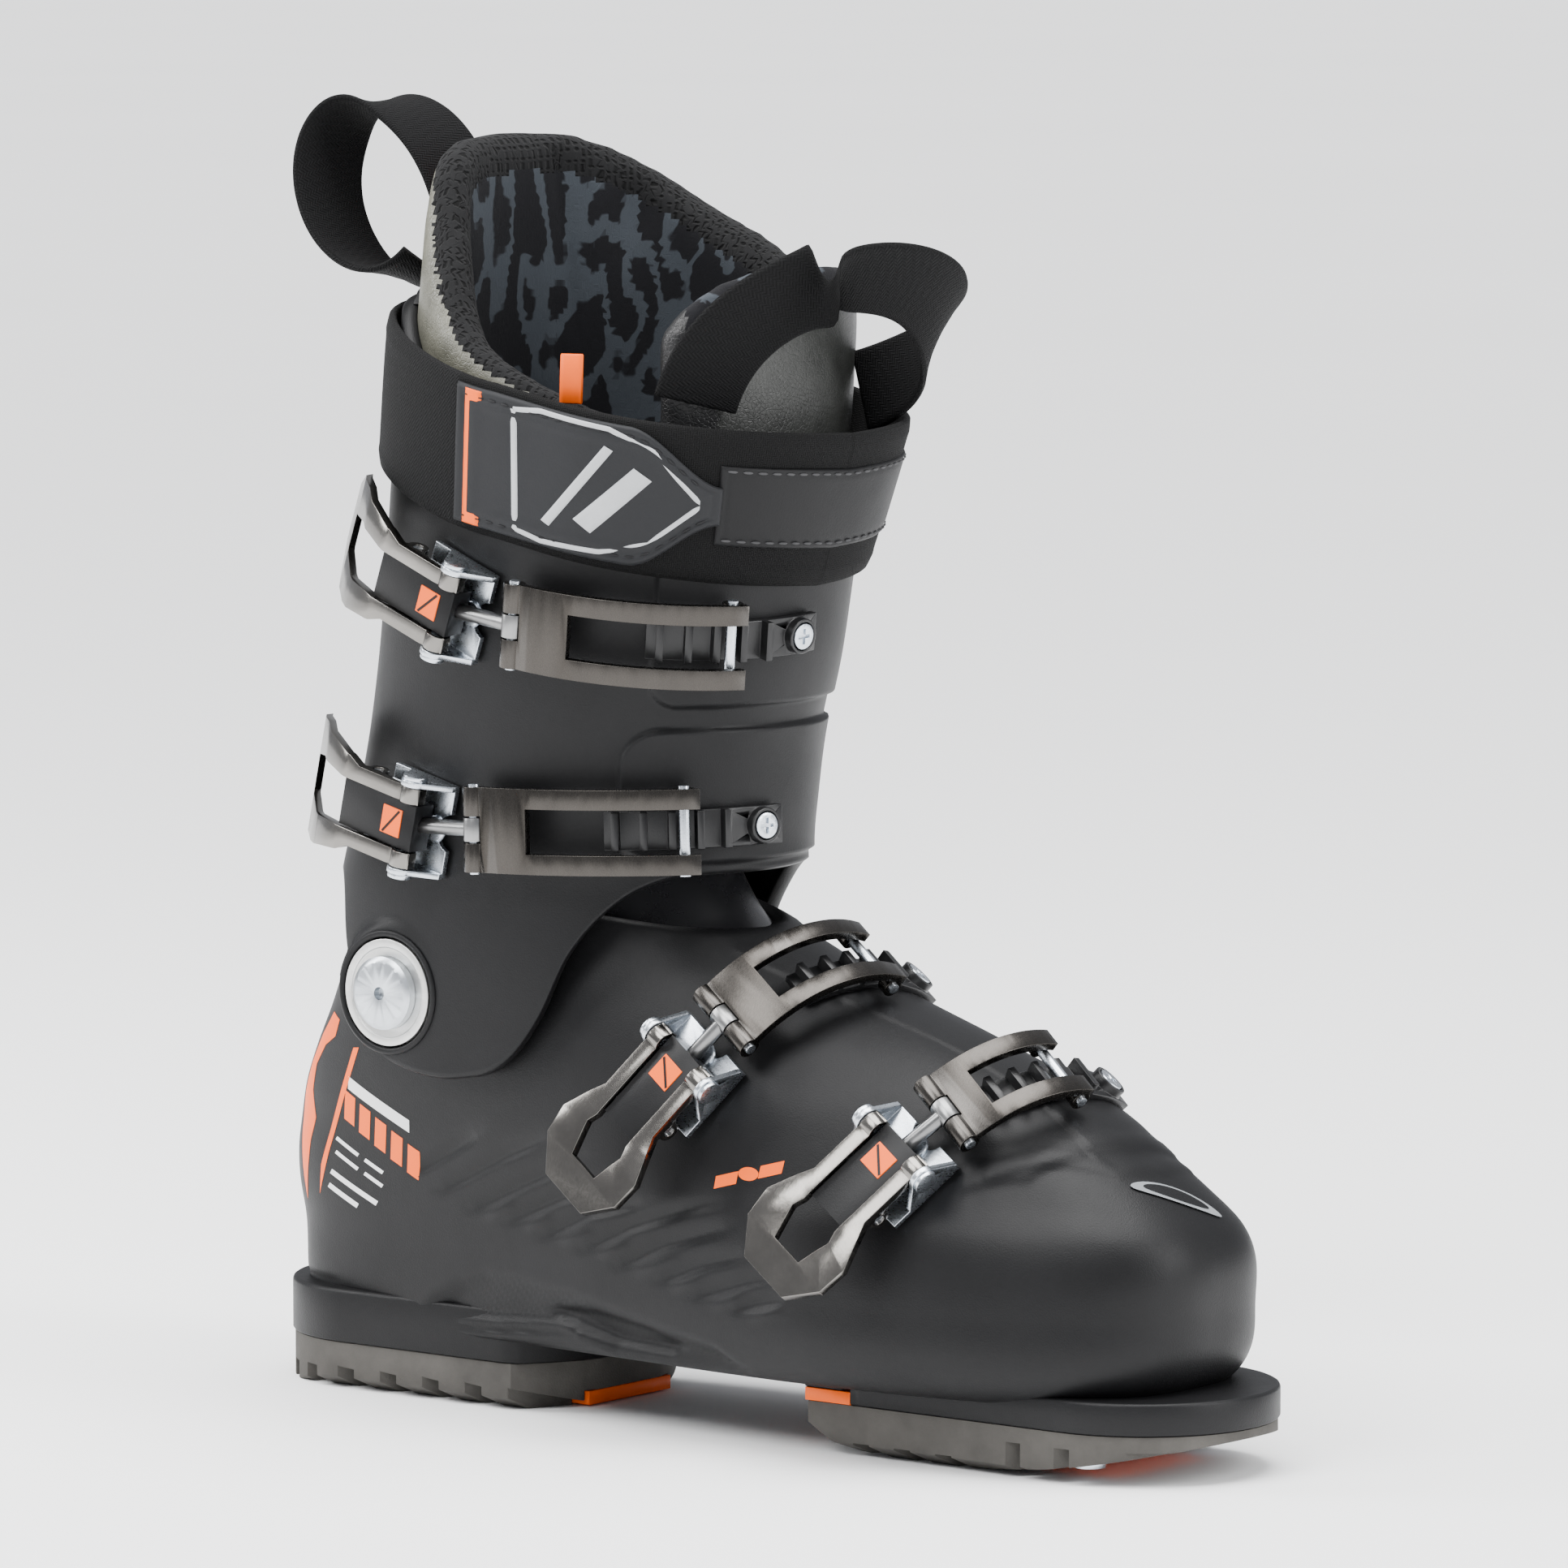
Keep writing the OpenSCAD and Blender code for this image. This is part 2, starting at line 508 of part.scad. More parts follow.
patch_gap = 0.2;
module strap_patch() { // rubber grip, square at the back and pointed towards the front
    function reach(i) = 0.5 - 0.03 - 0.34 * ease((i - 6.5) / 3.5);
    function patch_s(i, j) = 0.5 + reach(i) * (j - 2) / 2;
    color([0.27, 0.27, 0.28]) plate(
        [for (i = [0:10]) [for (j = [0:4]) strap_pt(patch_phis[i], patch_s(i, j), strap_t + patch_gap + patch_t)]],
        [for (i = [0:10]) [for (j = [0:4]) strap_pt(patch_phis[i], patch_s(i, j), strap_t + patch_gap)]]);
}

// --- pull loops ---------------------------------------------------------------------------
web_t = 1.8;
// A ribbon along a path, its width along a direction that turns from one end to the other.
module ribbon(path, across_a, across_b) {
    n = len(path) - 1;
    function along(i) = unit(path[min(i + 1, n)] - path[max(i - 1, 0)]);
    function wide(i) = let (w = across_a + (across_b - across_a) * ease(i / n)) unit(w - along(i) * (w * along(i)));
    vessel([for (i = [0:n]) let (w = wide(i) * loop_w / 2, t = unit(cross(along(i), wide(i))) * web_t / 2)
        [path[i] + w + t, path[i] - w + t, path[i] - w - t, path[i] + w - t]]);
}
function unit(v) = v / norm(v);
function bezier(p, t) = len(p) == 1 ? p[0] :
    bezier([for (i = [0:len(p) - 2]) p[i] * (1 - t) + p[i + 1] * t], t);
loop_steps = 22;
module loop_rear() {
    a = skin(CUFF, 318, 184, -collar_d + 2.6);
    b = skin(CUFF, 299, 196, -collar_d + 4.2);
    color([0.1, 0.1, 0.1]) ribbon([for (i = [0:loop_steps])
        bezier([a, a + [-14, 0, 34], a + [-48, -6, 36], b + [-46, -10, 14], b + [-16, -6, -12], b], i / loop_steps)],
        [0.25, 1, 0.1], [0.3, 1, -0.25]);
}
module loop_front() {
    a = skin(CUFF, 268, 322, -collar_d + 2.6);
    b = skin(CUFF, 268, 30, -collar_d + 3.2);
    color([0.1, 0.1, 0.1]) ribbon([for (i = [0:loop_steps])
        bezier([a, a + [10, 0, 28], a + [42, 6, 44], b + [56, -2, 38], b + [26, 6, 8], b], i / loop_steps)],
        [0.5, 0.6, -0.2], [0.3, 0.2, 1]);
}

// --- buckles ------------------------------------------------------------------------------
// Each buckle has its own frame on the skin under its lever pivot: x runs to the rack, z outwards.
// table, height and x of the lever's pivot, slope of the lever, the bail's own turn against that,
// how far the bail's arc turns, its radius, the lever's bend, the lift off the skin, the distance
// from the lever's pivot to the bail's hinge, the lever's length, and the rack's radius and tilt
BUCKLES = [
    [CUFF, 214.5, -60, -22, 14.2, 63.8, 56.9, 38, 0.8, 21, 54, 50.3, 0.8],
    [CUFF, 157, -76, -13, 14.4, 48.8, 73.7, 38, 0.8, 21, 54, 47.9, 7.3],
    [SHELL, 99, 6.5, 56, -1, 83.5, 35.5, 8, 1.2, 15, 46, 51.5, -15.1],
    [SHELL, 81, 72, 56, -4.6, 65.1, 33.9, 8, 1.2, 15.5, 46, 49.8, -10.2]];
function phi_at(tab, z, x) = let (r = row(tab, z), c = (x - (r[1] + r[2]) / 2) / ((r[2] - r[1]) / 2))
    270 + asin(power(c, (c > 0 ? r[6] : r[5]) / 2));
function spot(b, dz = 0, dp = 0) = skin(b[0], b[1] + dz, phi_at(b[0], b[1], b[2]) + dp);
function facing(b) = unit(cross(spot(b, 0, 1) - spot(b, 0, -1), spot(b, 1) - spot(b, -1)));
// Buckle frames: origin, x, y, z
function frame(k) = let (b = BUCKLES[k - 1], n = facing(b), want = [cos(b[3]), 0, sin(b[3])],
    t = unit(want - n * (want * n))) [spot(b) + n * b[8], t, cross(n, t), n];
module on_buckle(k) {
    f = frame(k);
    multmatrix([for (i = [0:2]) [f[1][i], f[2][i], f[3][i], f[0][i]]]) children();
}
lever_pivot = [0, 8];       // x and z of the lever's pivot
link_pivot = [-15, 6];      // of the pin that joins the barrel to the lever
function bail_pivot(k) = [BUCKLES[k - 1][9], 5]; // of the bail's hinge pin
module turned(k) { // the rod, the bail and the rack lie at their own angle to the lever
    rotate([0, 0, BUCKLES[k - 1][4]]) children();
}
ear_t = 1.5;
arm_w = 4.2;
arm_gap = 0.25;
base_rivet_r = 2.2;
base_plate_t = 1.6;
lever_w = base_w - 2 * ear_t - 2 * arm_gap;
function bail_turn(k) = BUCKLES[k - 1][5];
function bail_r(k) = BUCKLES[k - 1][6];
module base_holes() { for (x = [-9.5, 4]) translate([x, 0, 0]) children(); }
module arc_band(r, t, from, to) { // a band on an arc that starts at the top and turns towards +x
    intersection() {
        difference() {
            circle(r + t / 2, $fn = 96);
            circle(r - t / 2, $fn = 96);
        }
        polygon([[0, 0], for (a = [from, (2 * from + to) / 3, (from + 2 * to) / 3, to]) 2 * r * [sin(a), cos(a)]]);
    }
}

module buckle_base() {
    color([0.72, 0.76, 0.8]) difference() {
        union() {
            translate([-13.5, -base_w / 2, 0]) cube([22, base_w, base_plate_t]);
            for (s = [-1, 1]) translate([0, s * (base_w / 2 - ear_t / 2), 0]) side(ear_t) {
                translate(lever_pivot) circle(3.6);
                polygon([[-9, 0], [8.5, 0], [8.5, 2.5], [3.4, 9], [-3.4, 9]]);
            }
        }
        translate([lever_pivot.x, base_w, lever_pivot.y]) rotate([90, 0, 0])
            cylinder(2 * base_w, rivet_r + 0.05, rivet_r + 0.05);
        base_holes() translate([0, 0, -1]) cylinder(5, base_rivet_r + 0.1, base_rivet_r + 0.1);
        translate([9.5, 0, -1]) cylinder(5, 5, 5); // clears the rod
    }
}
// Lever outline seen from outside, one half: x and half width
function lever_outline(l) = let (w = lever_w / 2)
    [[3.4, w], [-18, w], [-22, w + 2], [16 - l, w + 5.5], [8 - l, w + 4.5], [-l, 8]];
function slot_outline(l) = [[4, lever_w / 2 - arm_w], [-25, lever_w / 2 - arm_w], [18 - l, 7.6], [9 - l, 5]];
function both_sides(h) = concat(h, [for (i = [len(h) - 1:-1:0]) [h[i].x, -h[i].y]]);
lever_t = 2.6;
// The lever's middle line: straight over the arms, then bent towards the boot
function lever_profile(l, bend) =
    let (knee = -23, high = lever_pivot.y + 1, run = l + knee, drop = run * tan(bend),
         mid = [[3.4, lever_pivot.y], [-4, high], [knee, high], [knee - run / 3, high - drop * 0.16],
                [knee - 2 * run / 3, high - drop * 0.5], [-l - 1, high - drop]])
    concat([for (p = mid) p + [0, lever_t / 2]], [for (i = [5:-1:0]) mid[i] - [0, lever_t / 2]]);
module lever(k) {
    l = BUCKLES[k - 1][10];
    color([0.55, 0.55, 0.56]) difference() {
        union() {
            intersection() {
                side(60) polygon(lever_profile(l, BUCKLES[k - 1][7]));
                translate([0, 0, -40]) linear_extrude(80) difference() {
                    polygon(both_sides(lever_outline(l)));
                    polygon(both_sides(slot_outline(l)));
                }
            }
            for (s = [-1, 1]) translate([0, s * (lever_w / 2 - arm_w / 2), 0]) side(arm_w) {
                translate(lever_pivot) circle(3.2);
                translate(link_pivot) circle(2.8);
                polygon([[-17, 5.6], [-13, 5.6], [-10, 8.5], [-19, 9]]);
            }
        }
        for (p = [lever_pivot, link_pivot]) translate([p.x, 40, p.y]) rotate([90, 0, 0])
            cylinder(80, (p == lever_pivot ? rivet_r : pin_r) + 0.05, (p == lever_pivot ? rivet_r : pin_r) + 0.05);
    }
}
module link_pin() {
    color("silver") translate([link_pivot.x, lever_w / 2 - 0.4, link_pivot.y]) rotate([90, 0, 0])
        cylinder(lever_w - 0.8, pin_r, pin_r);
}
barrel_w = lever_w - 2 * arm_w - 0.8;
barrel_h = 6.4;
rod_r = 2;
module barrel(k) {
    color([0.12, 0.12, 0.12]) difference() {
        translate([link_pivot.x - 8, -barrel_w / 2, link_pivot.y - barrel_h / 2]) cube([26, barrel_w, barrel_h]);
        translate([link_pivot.x, 20, link_pivot.y]) rotate([90, 0, 0]) cylinder(40, pin_r + 0.06, pin_r + 0.06);
        turned(k) translate([rod_from - 0.5, 0, rod_z]) rotate([0, 90, 0]) cylinder(30, rod_r + 0.06, rod_r + 0.06);
    }
}
rod_z = 5.3;
rod_from = -10.5;
eye_w = 6;
module rod(k) {
    color([0.3, 0.3, 0.3]) turned(k) difference() {
        union() {
            translate([rod_from, 0, rod_z]) rotate([0, 90, 0]) cylinder(bail_pivot(k).x - 1 - rod_from, rod_r, rod_r);
            translate([bail_pivot(k).x, eye_w / 2, bail_pivot(k).y]) rotate([90, 0, 0]) cylinder(eye_w, 2.9, 2.9);
        }
        translate([bail_pivot(k).x, 20, bail_pivot(k).y]) rotate([90, 0, 0]) cylinder(40, pin_r + 0.06, pin_r + 0.06);
    }
}
bail_barrel_r = 2.9;
cross_back = 3; // degrees from the bail's end to its cross pin
module at_bail(k) { // the middle of the bail's arc
    translate([bail_pivot(k).x, 0, bail_pivot(k).y - bail_r(k)]) children();
}
function on_arc(k, a, dr = 0) = let (r = bail_r(k) + dr)
    [bail_pivot(k).x + r * sin(a), bail_pivot(k).y - bail_r(k) + r * cos(a)];
cross_in = -3; // the cross pin lies this far inside the bail's middle line
module bail(k) {
    turn = bail_turn(k);
    r = bail_r(k);
    color([0.36, 0.34, 0.32]) difference() {
        union() {
            at_bail(k) side(bail_w) arc_band(r, bail_t, 0, turn);
            translate([bail_pivot(k).x, bail_w / 2, bail_pivot(k).y]) rotate([90, 0, 0]) cylinder(bail_w, bail_barrel_r, bail_barrel_r);
            for (s = [-1, 1]) translate([0, s * (bail_w / 2 - 1.5), 0]) side(3)
                translate(on_arc(k, turn - cross_back, cross_in)) circle(2.7);
        }
        at_bail(k) side(bail_w - 10.4) polygon([[0, 0], for (a = [turn * 0.27, turn * 0.6, turn + 8]) 2 * r * [sin(a), cos(a)]]);
        translate([bail_pivot(k).x - 4, 0, bail_pivot(k).y]) cube([8 + 6, eye_w + 1, 14], center = true);
        translate([bail_pivot(k).x, 30, bail_pivot(k).y]) rotate([90, 0, 0]) cylinder(60, pin_r + 0.04, pin_r + 0.04);
        translate([on_arc(k, turn - cross_back, cross_in).x, 30, on_arc(k, turn - cross_back, cross_in).y])
            rotate([90, 0, 0]) cylinder(60, pin_r + 0.04, pin_r + 0.04);
    }
}
module bail_pins(k) {
    color("silver") for (p = [bail_pivot(k), on_arc(k, bail_turn(k) - cross_back, cross_in)])
        translate([p.x, bail_w / 2 + 0.6, p.y]) rotate([90, 0, 0]) cylinder(bail_w + 1.2, pin_r, pin_r);
}
// The rack follows the bail's arc, inside it. The cross pin drops in between two teeth.
rack_w = 10;
rack_t = 2;
tooth_t = 1.8;
rack_r_in = 6.5; // from the bail's middle line to the rack's floor
rack_teeth = 5;
screw_step = rack_teeth + 0.6;
teeth_before = 2.46; // tooth steps from the first tooth to the cross pin
function rack_r(k) = BUCKLES[k - 1][11];
function tooth_step(k) = tooth_pitch / rack_r(k) * 180 / PI;
module at_rack(k, steps) { // on the rack's floor, some tooth steps on from the first tooth
    at_bail(k) rotate([0, bail_turn(k) - cross_back, 0]) translate([0, 0, bail_r(k) - rack_r_in])
        rotate([0, BUCKLES[k - 1][12], 0]) translate([0, 0, -rack_r(k)])
            rotate([0, (steps - teeth_before) * tooth_step(k), 0]) children();
}
function spoke(r, a) = r * [sin(a), cos(a)];
function rack_profile(k) = let (r = rack_r(k), step = tooth_step(k),
        half = tooth_t / 2 / r * 180 / PI, start = -4, end = (screw_step + 1) * step)
    concat([spoke(r, start)],
        [for (i = [0:rack_teeth - 1], p = [[-half, 0], [-half, tooth_h], [half, tooth_h], [half, 0]])
            spoke(r + p.y, i * step + p.x)],
        [for (i = [0:3]) spoke(r, end + (i - 3) * step / 2)],
        [for (i = [0:12]) spoke(r - rack_t, end + (start - end) * i / 12)]);
module at_rack_screw(k) {
    at_rack(k, screw_step) translate([0, 0, rack_r(k)]) children();
}
module rack(k) {
    color([0.14, 0.14, 0.14]) difference() {
        union() {
            at_rack(k, 0) side(rack_w) polygon(rack_profile(k));
            at_rack_screw(k) translate([0, 0, -rack_t / 2]) cylinder(rack_t / 2 + 2.2, 4.6, 4.6);
        }
        at_rack_screw(k) translate([0, 0, -10]) cylinder(20, 1.9, 1.9);
        at_rack_screw(k) translate([0, 0, 0.8]) cylinder(10, 3.7, 3.7);
    }
}
rack_screw_r = 1.8;
module rack_screw(k) {
    on_buckle(k) turned(k) at_rack_screw(k) difference() {
        union() {
            translate([0, 0, 0.85]) cylinder(1.5, 3.5, 3.3);
            translate([0, 0, -rack_t - 3.4]) cylinder(rack_t + 4.4, rack_screw_r, rack_screw_r);
        }
        for (a = [0, 90]) rotate([0, 0, a]) translate([0, 0, 2.4]) cube([4, 0.9, 1.6], center = true);
    }
}
module buckle_rivets(k) { // two hold the base, two carry the lever
    on_buckle(k) {
        base_holes() {
            translate([0, 0, base_plate_t + 0.05]) cylinder(0.8, 3.6, 3.2);
            translate([0, 0, -4]) cylinder(base_plate_t + 4.4, base_rivet_r, base_rivet_r);
        }
        for (s = [-1, 1]) translate([lever_pivot.x, s * (base_w / 2 + 1.2), lever_pivot.y]) rotate([90 * s, 0, 0]) {
            cylinder(1.15, 3.2, 3.2);
            cylinder(1.2 + ear_t + arm_gap + arm_w - 0.3, rivet_r, rivet_r);
        }
    }
}

lower_shell();
toe_sole();
heel_sole();
toe_plate();
toe_shim();
heel_plate();
sole_screws();
boot_board();
footbed();
liner_foot();
instep_gaiter();
pivot_bolts();
pivot_nuts();
color("silver") for (k = [3, 4]) buckle_rivets(k);  // shell_rivets
color("silver") for (k = [3, 4]) rack_screw(k);  // shell_rack_screws
cuff();
liner_cuff();
liner_tongue();
rear_spoiler();
pivot_discs();
color("silver") for (k = [1, 2]) buckle_rivets(k);  // cuff_rivets
color("silver") for (k = [1, 2]) rack_screw(k);  // cuff_rack_screws
rear_screws();
power_strap();
strap_patch();
loop_rear();
loop_front();
for (k = [1:4]) {
    on_buckle(k) buckle_base();
    on_buckle(k) lever(k);
    on_buckle(k) link_pin();
    on_buckle(k) barrel(k);
    on_buckle(k) rod(k);
    on_buckle(k) turned(k) bail(k);
    on_buckle(k) turned(k) bail_pins(k);
    on_buckle(k) turned(k) rack(k);
}
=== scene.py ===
"""Looks of the alpine ski boot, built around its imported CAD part."""
import json
import math

import bmesh
import bpy
import numpy as np
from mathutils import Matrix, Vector
from mathutils.kdtree import KDTree


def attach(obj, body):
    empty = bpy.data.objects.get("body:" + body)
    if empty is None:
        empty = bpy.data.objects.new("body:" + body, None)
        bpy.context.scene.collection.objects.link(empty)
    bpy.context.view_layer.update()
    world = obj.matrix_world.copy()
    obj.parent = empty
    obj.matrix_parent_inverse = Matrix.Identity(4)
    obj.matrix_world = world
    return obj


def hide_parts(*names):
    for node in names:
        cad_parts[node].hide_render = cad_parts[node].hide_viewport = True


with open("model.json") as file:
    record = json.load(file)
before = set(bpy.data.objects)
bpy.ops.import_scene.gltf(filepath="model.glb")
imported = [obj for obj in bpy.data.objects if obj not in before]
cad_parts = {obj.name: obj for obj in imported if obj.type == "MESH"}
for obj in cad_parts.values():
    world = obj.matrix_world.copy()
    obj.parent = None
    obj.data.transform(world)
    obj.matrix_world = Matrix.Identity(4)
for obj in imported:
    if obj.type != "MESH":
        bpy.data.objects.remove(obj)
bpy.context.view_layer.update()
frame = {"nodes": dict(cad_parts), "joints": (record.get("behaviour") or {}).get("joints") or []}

# ---- the boot's surfaces, in mm
DROP = 3.5  # table height less real height
SHELL_WALL = 4.5
COLLAR_DEPTH = 5.0  # from the cuff's skin in to the liner
STRAP_WIDTH, STRAP_THICK, PATCH_THICK = 38, 2.2, 1.5
MM_PER_DEGREE = 0.85  # along the strap and the cuff
TINY = 1e-9
SHELL = np.array([
    [18, -141, 119, 32, 34, 3.6, 3.0], [24, -145, 133, 35.5, 45.5, 3.6, 3.0],
    [32, -145.5, 139, 37, 51.5, 3.6, 3.0], [45, -146.5, 141, 38, 52, 3.4, 2.9],
    [56, -149, 142, 38.5, 51, 3.3, 2.8], [64, -149.6, 139, 39, 49.5, 3.2, 2.7],
    [72, -149, 131, 40, 47, 3.0, 2.5], [82, -147, 117, 41, 44.5, 2.9, 2.4],
    [92, -143, 101, 42, 42, 2.8, 2.3], [104, -137, 71, 42.5, 39, 2.7, 2.2],
    [116, -132, 36, 42.5, 37, 2.6, 2.1], [126, -129.5, 11, 42.3, 36, 2.5, 2.1],
    [136, -128, -5, 42, 36, 2.4, 2.1], [150, -127, -16, 41.5, 36, 2.4, 2.1]])
CUFF = np.array([
    [85, -134, 12, 48.5, 46, 2.6, 2.4], [105, -133.5, 10, 48.5, 46, 2.6, 2.4],
    [120, -132.5, 7, 48.5, 46, 2.6, 2.3], [135, -130.5, 3, 48, 45.5, 2.5, 2.2],
    [150, -127.5, 0.5, 47, 45.5, 2.4, 2.2], [165, -124, 1.4, 47, 46.5, 2.3, 2.2],
    [180, -120, 3, 48, 48, 2.3, 2.2], [200, -116.2, 7.5, 49.5, 49.5, 2.3, 2.2],
    [220, -113.4, 10.5, 51, 51, 2.3, 2.2], [240, -110.6, 13, 53, 53, 2.3, 2.2],
    [260, -107.8, 15, 55, 55, 2.3, 2.2], [280, -105.4, 16, 56, 56, 2.3, 2.2],
    [300, -103, 16.5, 56, 56, 2.3, 2.2], [340, -99.5, 17, 55, 55, 2.3, 2.2]])


def rows_at(tab, z):
    """Smooth rows of a table at heights z."""
    z = np.asarray(z, float)
    n = len(tab)
    i = np.clip(np.searchsorted(tab[:, 0], z, side="right") - 1, 0, n - 2)
    a, b = np.clip(i - 1, 0, None), np.clip(i + 1, None, n - 1)
    c = np.clip(i + 2, None, n - 1)

    def slope(lo, hi):
        return (tab[hi] - tab[lo]) / (tab[hi, 0] - tab[lo, 0])[..., None]
    h = (tab[b, 0] - tab[i, 0])[..., None]
    t = (z[..., None] - tab[i, 0][..., None]) / h
    return ((2 * t**3 - 3 * t**2 + 1) * tab[i] + (t**3 - 2 * t**2 + t) * h * slope(a, b)
            + (3 * t**2 - 2 * t**3) * tab[b] + (t**3 - t**2) * h * slope(i, c))


def ease(t):
    u = np.clip(t, 0, 1)
    return u * u * (3 - 2 * u)


def power(v, e):
    return np.sign(v) * np.abs(v) ** e


def skin(tab, z, phi, out=0.0):
    """Points in mm on a section: phi 0 is the front, 90 the inner side, 180 the back, 270 the outer."""
    z, phi, out = np.broadcast_arrays(np.asarray(z, float), np.asarray(phi, float), np.asarray(out, float))
    r = rows_at(tab, z)
    xr, xf = r[..., 1] - out, r[..., 2] + out
    c, s = np.cos(np.radians(phi)), np.sin(np.radians(phi))
    n = np.where(c > 0, r[..., 6], r[..., 5])
    x = (xr + xf) / 2 + (xf - xr) / 2 * power(c, 2 / n)
    wide = r[..., 3] + (r[..., 4] - r[..., 3]) * ease(((x - xr) / (xf - xr) - 0.15) / 0.6) + out
    return np.stack([x, wide * power(s, 2 / n), z - DROP], -1)


def under(z, phi, d):
    """The same, d inside the lower shell's skin."""
    z = np.asarray(z, float)
    k = ease((z - 55) / 20)
    p = skin(SHELL, z + d * k, phi, -d * (1 - 0.4 * k))
    p[..., 2] = np.broadcast_to(z - DROP, p.shape[:-1])
    return p


def curve(points, v):
    """Smooth curve through (from_back angle, value) pairs."""
    tab = np.array(points, float)
    return rows_at(tab, v)[..., 1]


def turn(n):
    """n angles round a circle, in radians."""
    return np.linspace(0, 2 * math.pi, n, endpoint=False)


def from_back(phi):
    return np.abs(np.mod(phi, 360) - 180)


def even_angles(tab, z, n, lo=0.0, hi=360.0):
    """n angles that space the section at height z evenly."""
    u = np.linspace(lo / 90, hi / 90, 8001)
    k = np.floor(u)
    phi = 90 * (k + np.sin(np.pi / 2 * (u - k)) ** 2)
    p = skin(tab, np.full_like(phi, z), phi)
    s = np.r_[0, np.cumsum(np.linalg.norm(np.diff(p, axis=0), axis=1))]
    closed = hi - lo >= 360
    return np.interp(np.linspace(0, s[-1], n, endpoint=not closed), s, phi)


def shell_rim(phi):
    return curve([[0, 139], [35, 139], [60, 135], [115, 134], [145, 131], [180, 130]], from_back(phi))


def cuff_low(phi):
    return curve([[0, 141], [36, 141], [46, 136], [54, 122], [60, 109], [66, 99], [72, 94.5], [80, 92],
                  [88, 92], [95, 97], [103, 109], [113, 126], [128, 140], [143, 146], [160, 147],
                  [180, 147]], from_back(phi))


def cuff_top(phi):
    return curve([[0, 292], [35, 289], [65, 272], [90, 259], [120, 247], [150, 240], [180, 238]],
                 from_back(phi))


def collar_low(phi):
    return curve([[0, 143.5], [60, 143.5], [90, 145], [130, 149]], from_back(phi))


def collar_top(phi):
    f = from_back(phi)
    inner = curve([[0, 333], [30, 331], [60, 322], [90, 308], [110, 296], [130, 284]], f)
    outer = curve([[0, 333], [30, 328], [50, 308], [70, 288], [90, 276], [110, 268], [130, 262]], f)
    return np.where(np.mod(phi, 360) < 180, inner, outer)


def strap_low(phi):
    return curve([[0, 252], [40, 249], [90, 234], [120, 227], [150, 223], [180, 221]], from_back(phi))


def strap_point(phi, s, out):
    f = from_back(phi)
    clear = 1.2 + 1.6 * ease((f - 96) / 20) + 7 * ease((f - 100) / 60) * s
    return skin(CUFF, strap_low(phi) + STRAP_WIDTH * s, phi, clear + out)


def on_side(tab, x, z, out=0.0, side=-1):
    """Points in mm on a side of the boot at (x, real z)."""
    x, z = np.broadcast_arrays(np.asarray(x, float), np.asarray(z, float))
    r = rows_at(tab, z + DROP)
    mid, half = (r[..., 1] + r[..., 2]) / 2, (r[..., 2] - r[..., 1]) / 2
    c = np.clip((x - mid) / half, -0.9999, 0.9999)
    n = np.where(c > 0, r[..., 6], r[..., 5])
    a = np.degrees(np.arcsin(power(c, n / 2)))
    return skin(tab, z + DROP, 270 + a if side < 0 else 90 - a, out)


def line_distance(px, pz, pts):
    """Signed distance from points to a polyline (+ above it), and how far along it they are, 0 to 1."""
    best = np.full(px.shape, 1e9)
    sign = np.ones(px.shape)
    along = np.zeros(px.shape)
    pts = np.array(pts, float)
    seg = np.linalg.norm(np.diff(pts, axis=0), axis=1)
    start = np.r_[0, np.cumsum(seg)]
    for i in range(len(pts) - 1):
        d = pts[i + 1] - pts[i]
        t = np.clip(((px - pts[i, 0]) * d[0] + (pz - pts[i, 1]) * d[1]) / (d @ d), 0, 1)
        ex, ez = px - pts[i, 0] - t * d[0], pz - pts[i, 1] - t * d[1]
        dist = np.hypot(ex, ez)
        near = dist < best
        best = np.where(near, dist, best)
        sign = np.where(near, np.sign(d[0] * ez - d[1] * ex), sign)
        along = np.where(near, (start[i] + t * seg[i]) / start[-1], along)
    return best * sign, along


def inside(px, pz, poly):
    """True where a point lies in a polygon."""
    poly = np.array(poly, float)
    hit = np.zeros(px.shape, bool)
    for (x0, z0), (x1, z1) in zip(poly, np.roll(poly, -1, axis=0)):
        if z0 == z1:
            continue
        cross = (z0 > pz) != (z1 > pz)
        hit ^= cross & (px < (x1 - x0) * (pz - z0) / (z1 - z0) + x0)
    return hit


# ---- mesh builders
def make(name, verts, faces, mats, body, node=None, smooth=True, uv=None):
    """A mesh object from mm coordinates. uv holds one pair per vertex."""
    me = bpy.data.meshes.new(name)
    me.from_pydata([tuple(v) for v in np.asarray(verts, float) / 1000], [], faces)
    o = bpy.data.objects.new(name, me)
    bpy.context.scene.collection.objects.link(o)
    for m in (mats if isinstance(mats, (list, tuple)) else [mats]):
        me.materials.append(m)
    me.polygons.foreach_set("use_smooth", np.full(len(me.polygons), smooth))
    if uv is not None:
        set_uv(me, np.asarray(uv))
    me.update()
    if body:
        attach(o, body)
    if node:
        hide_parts(node)
    return o


def set_uv(me, per_vertex):
    layer = me.uv_layers.get("metric") or me.uv_layers.new(name="metric")
    loops = np.zeros(len(me.loops), np.int32)
    me.loops.foreach_get("vertex_index", loops)
    layer.data.foreach_set("uv", per_vertex[loops].astype(np.float32).ravel())


def modifier(o, kind, apply=False, **settings):
    mod = o.modifiers.new(kind.lower(), kind)
    for key, value in settings.items():
        setattr(mod, key, value)
    if apply:
        bpy.ops.object.modifier_apply(modifier=mod.name)
    return mod


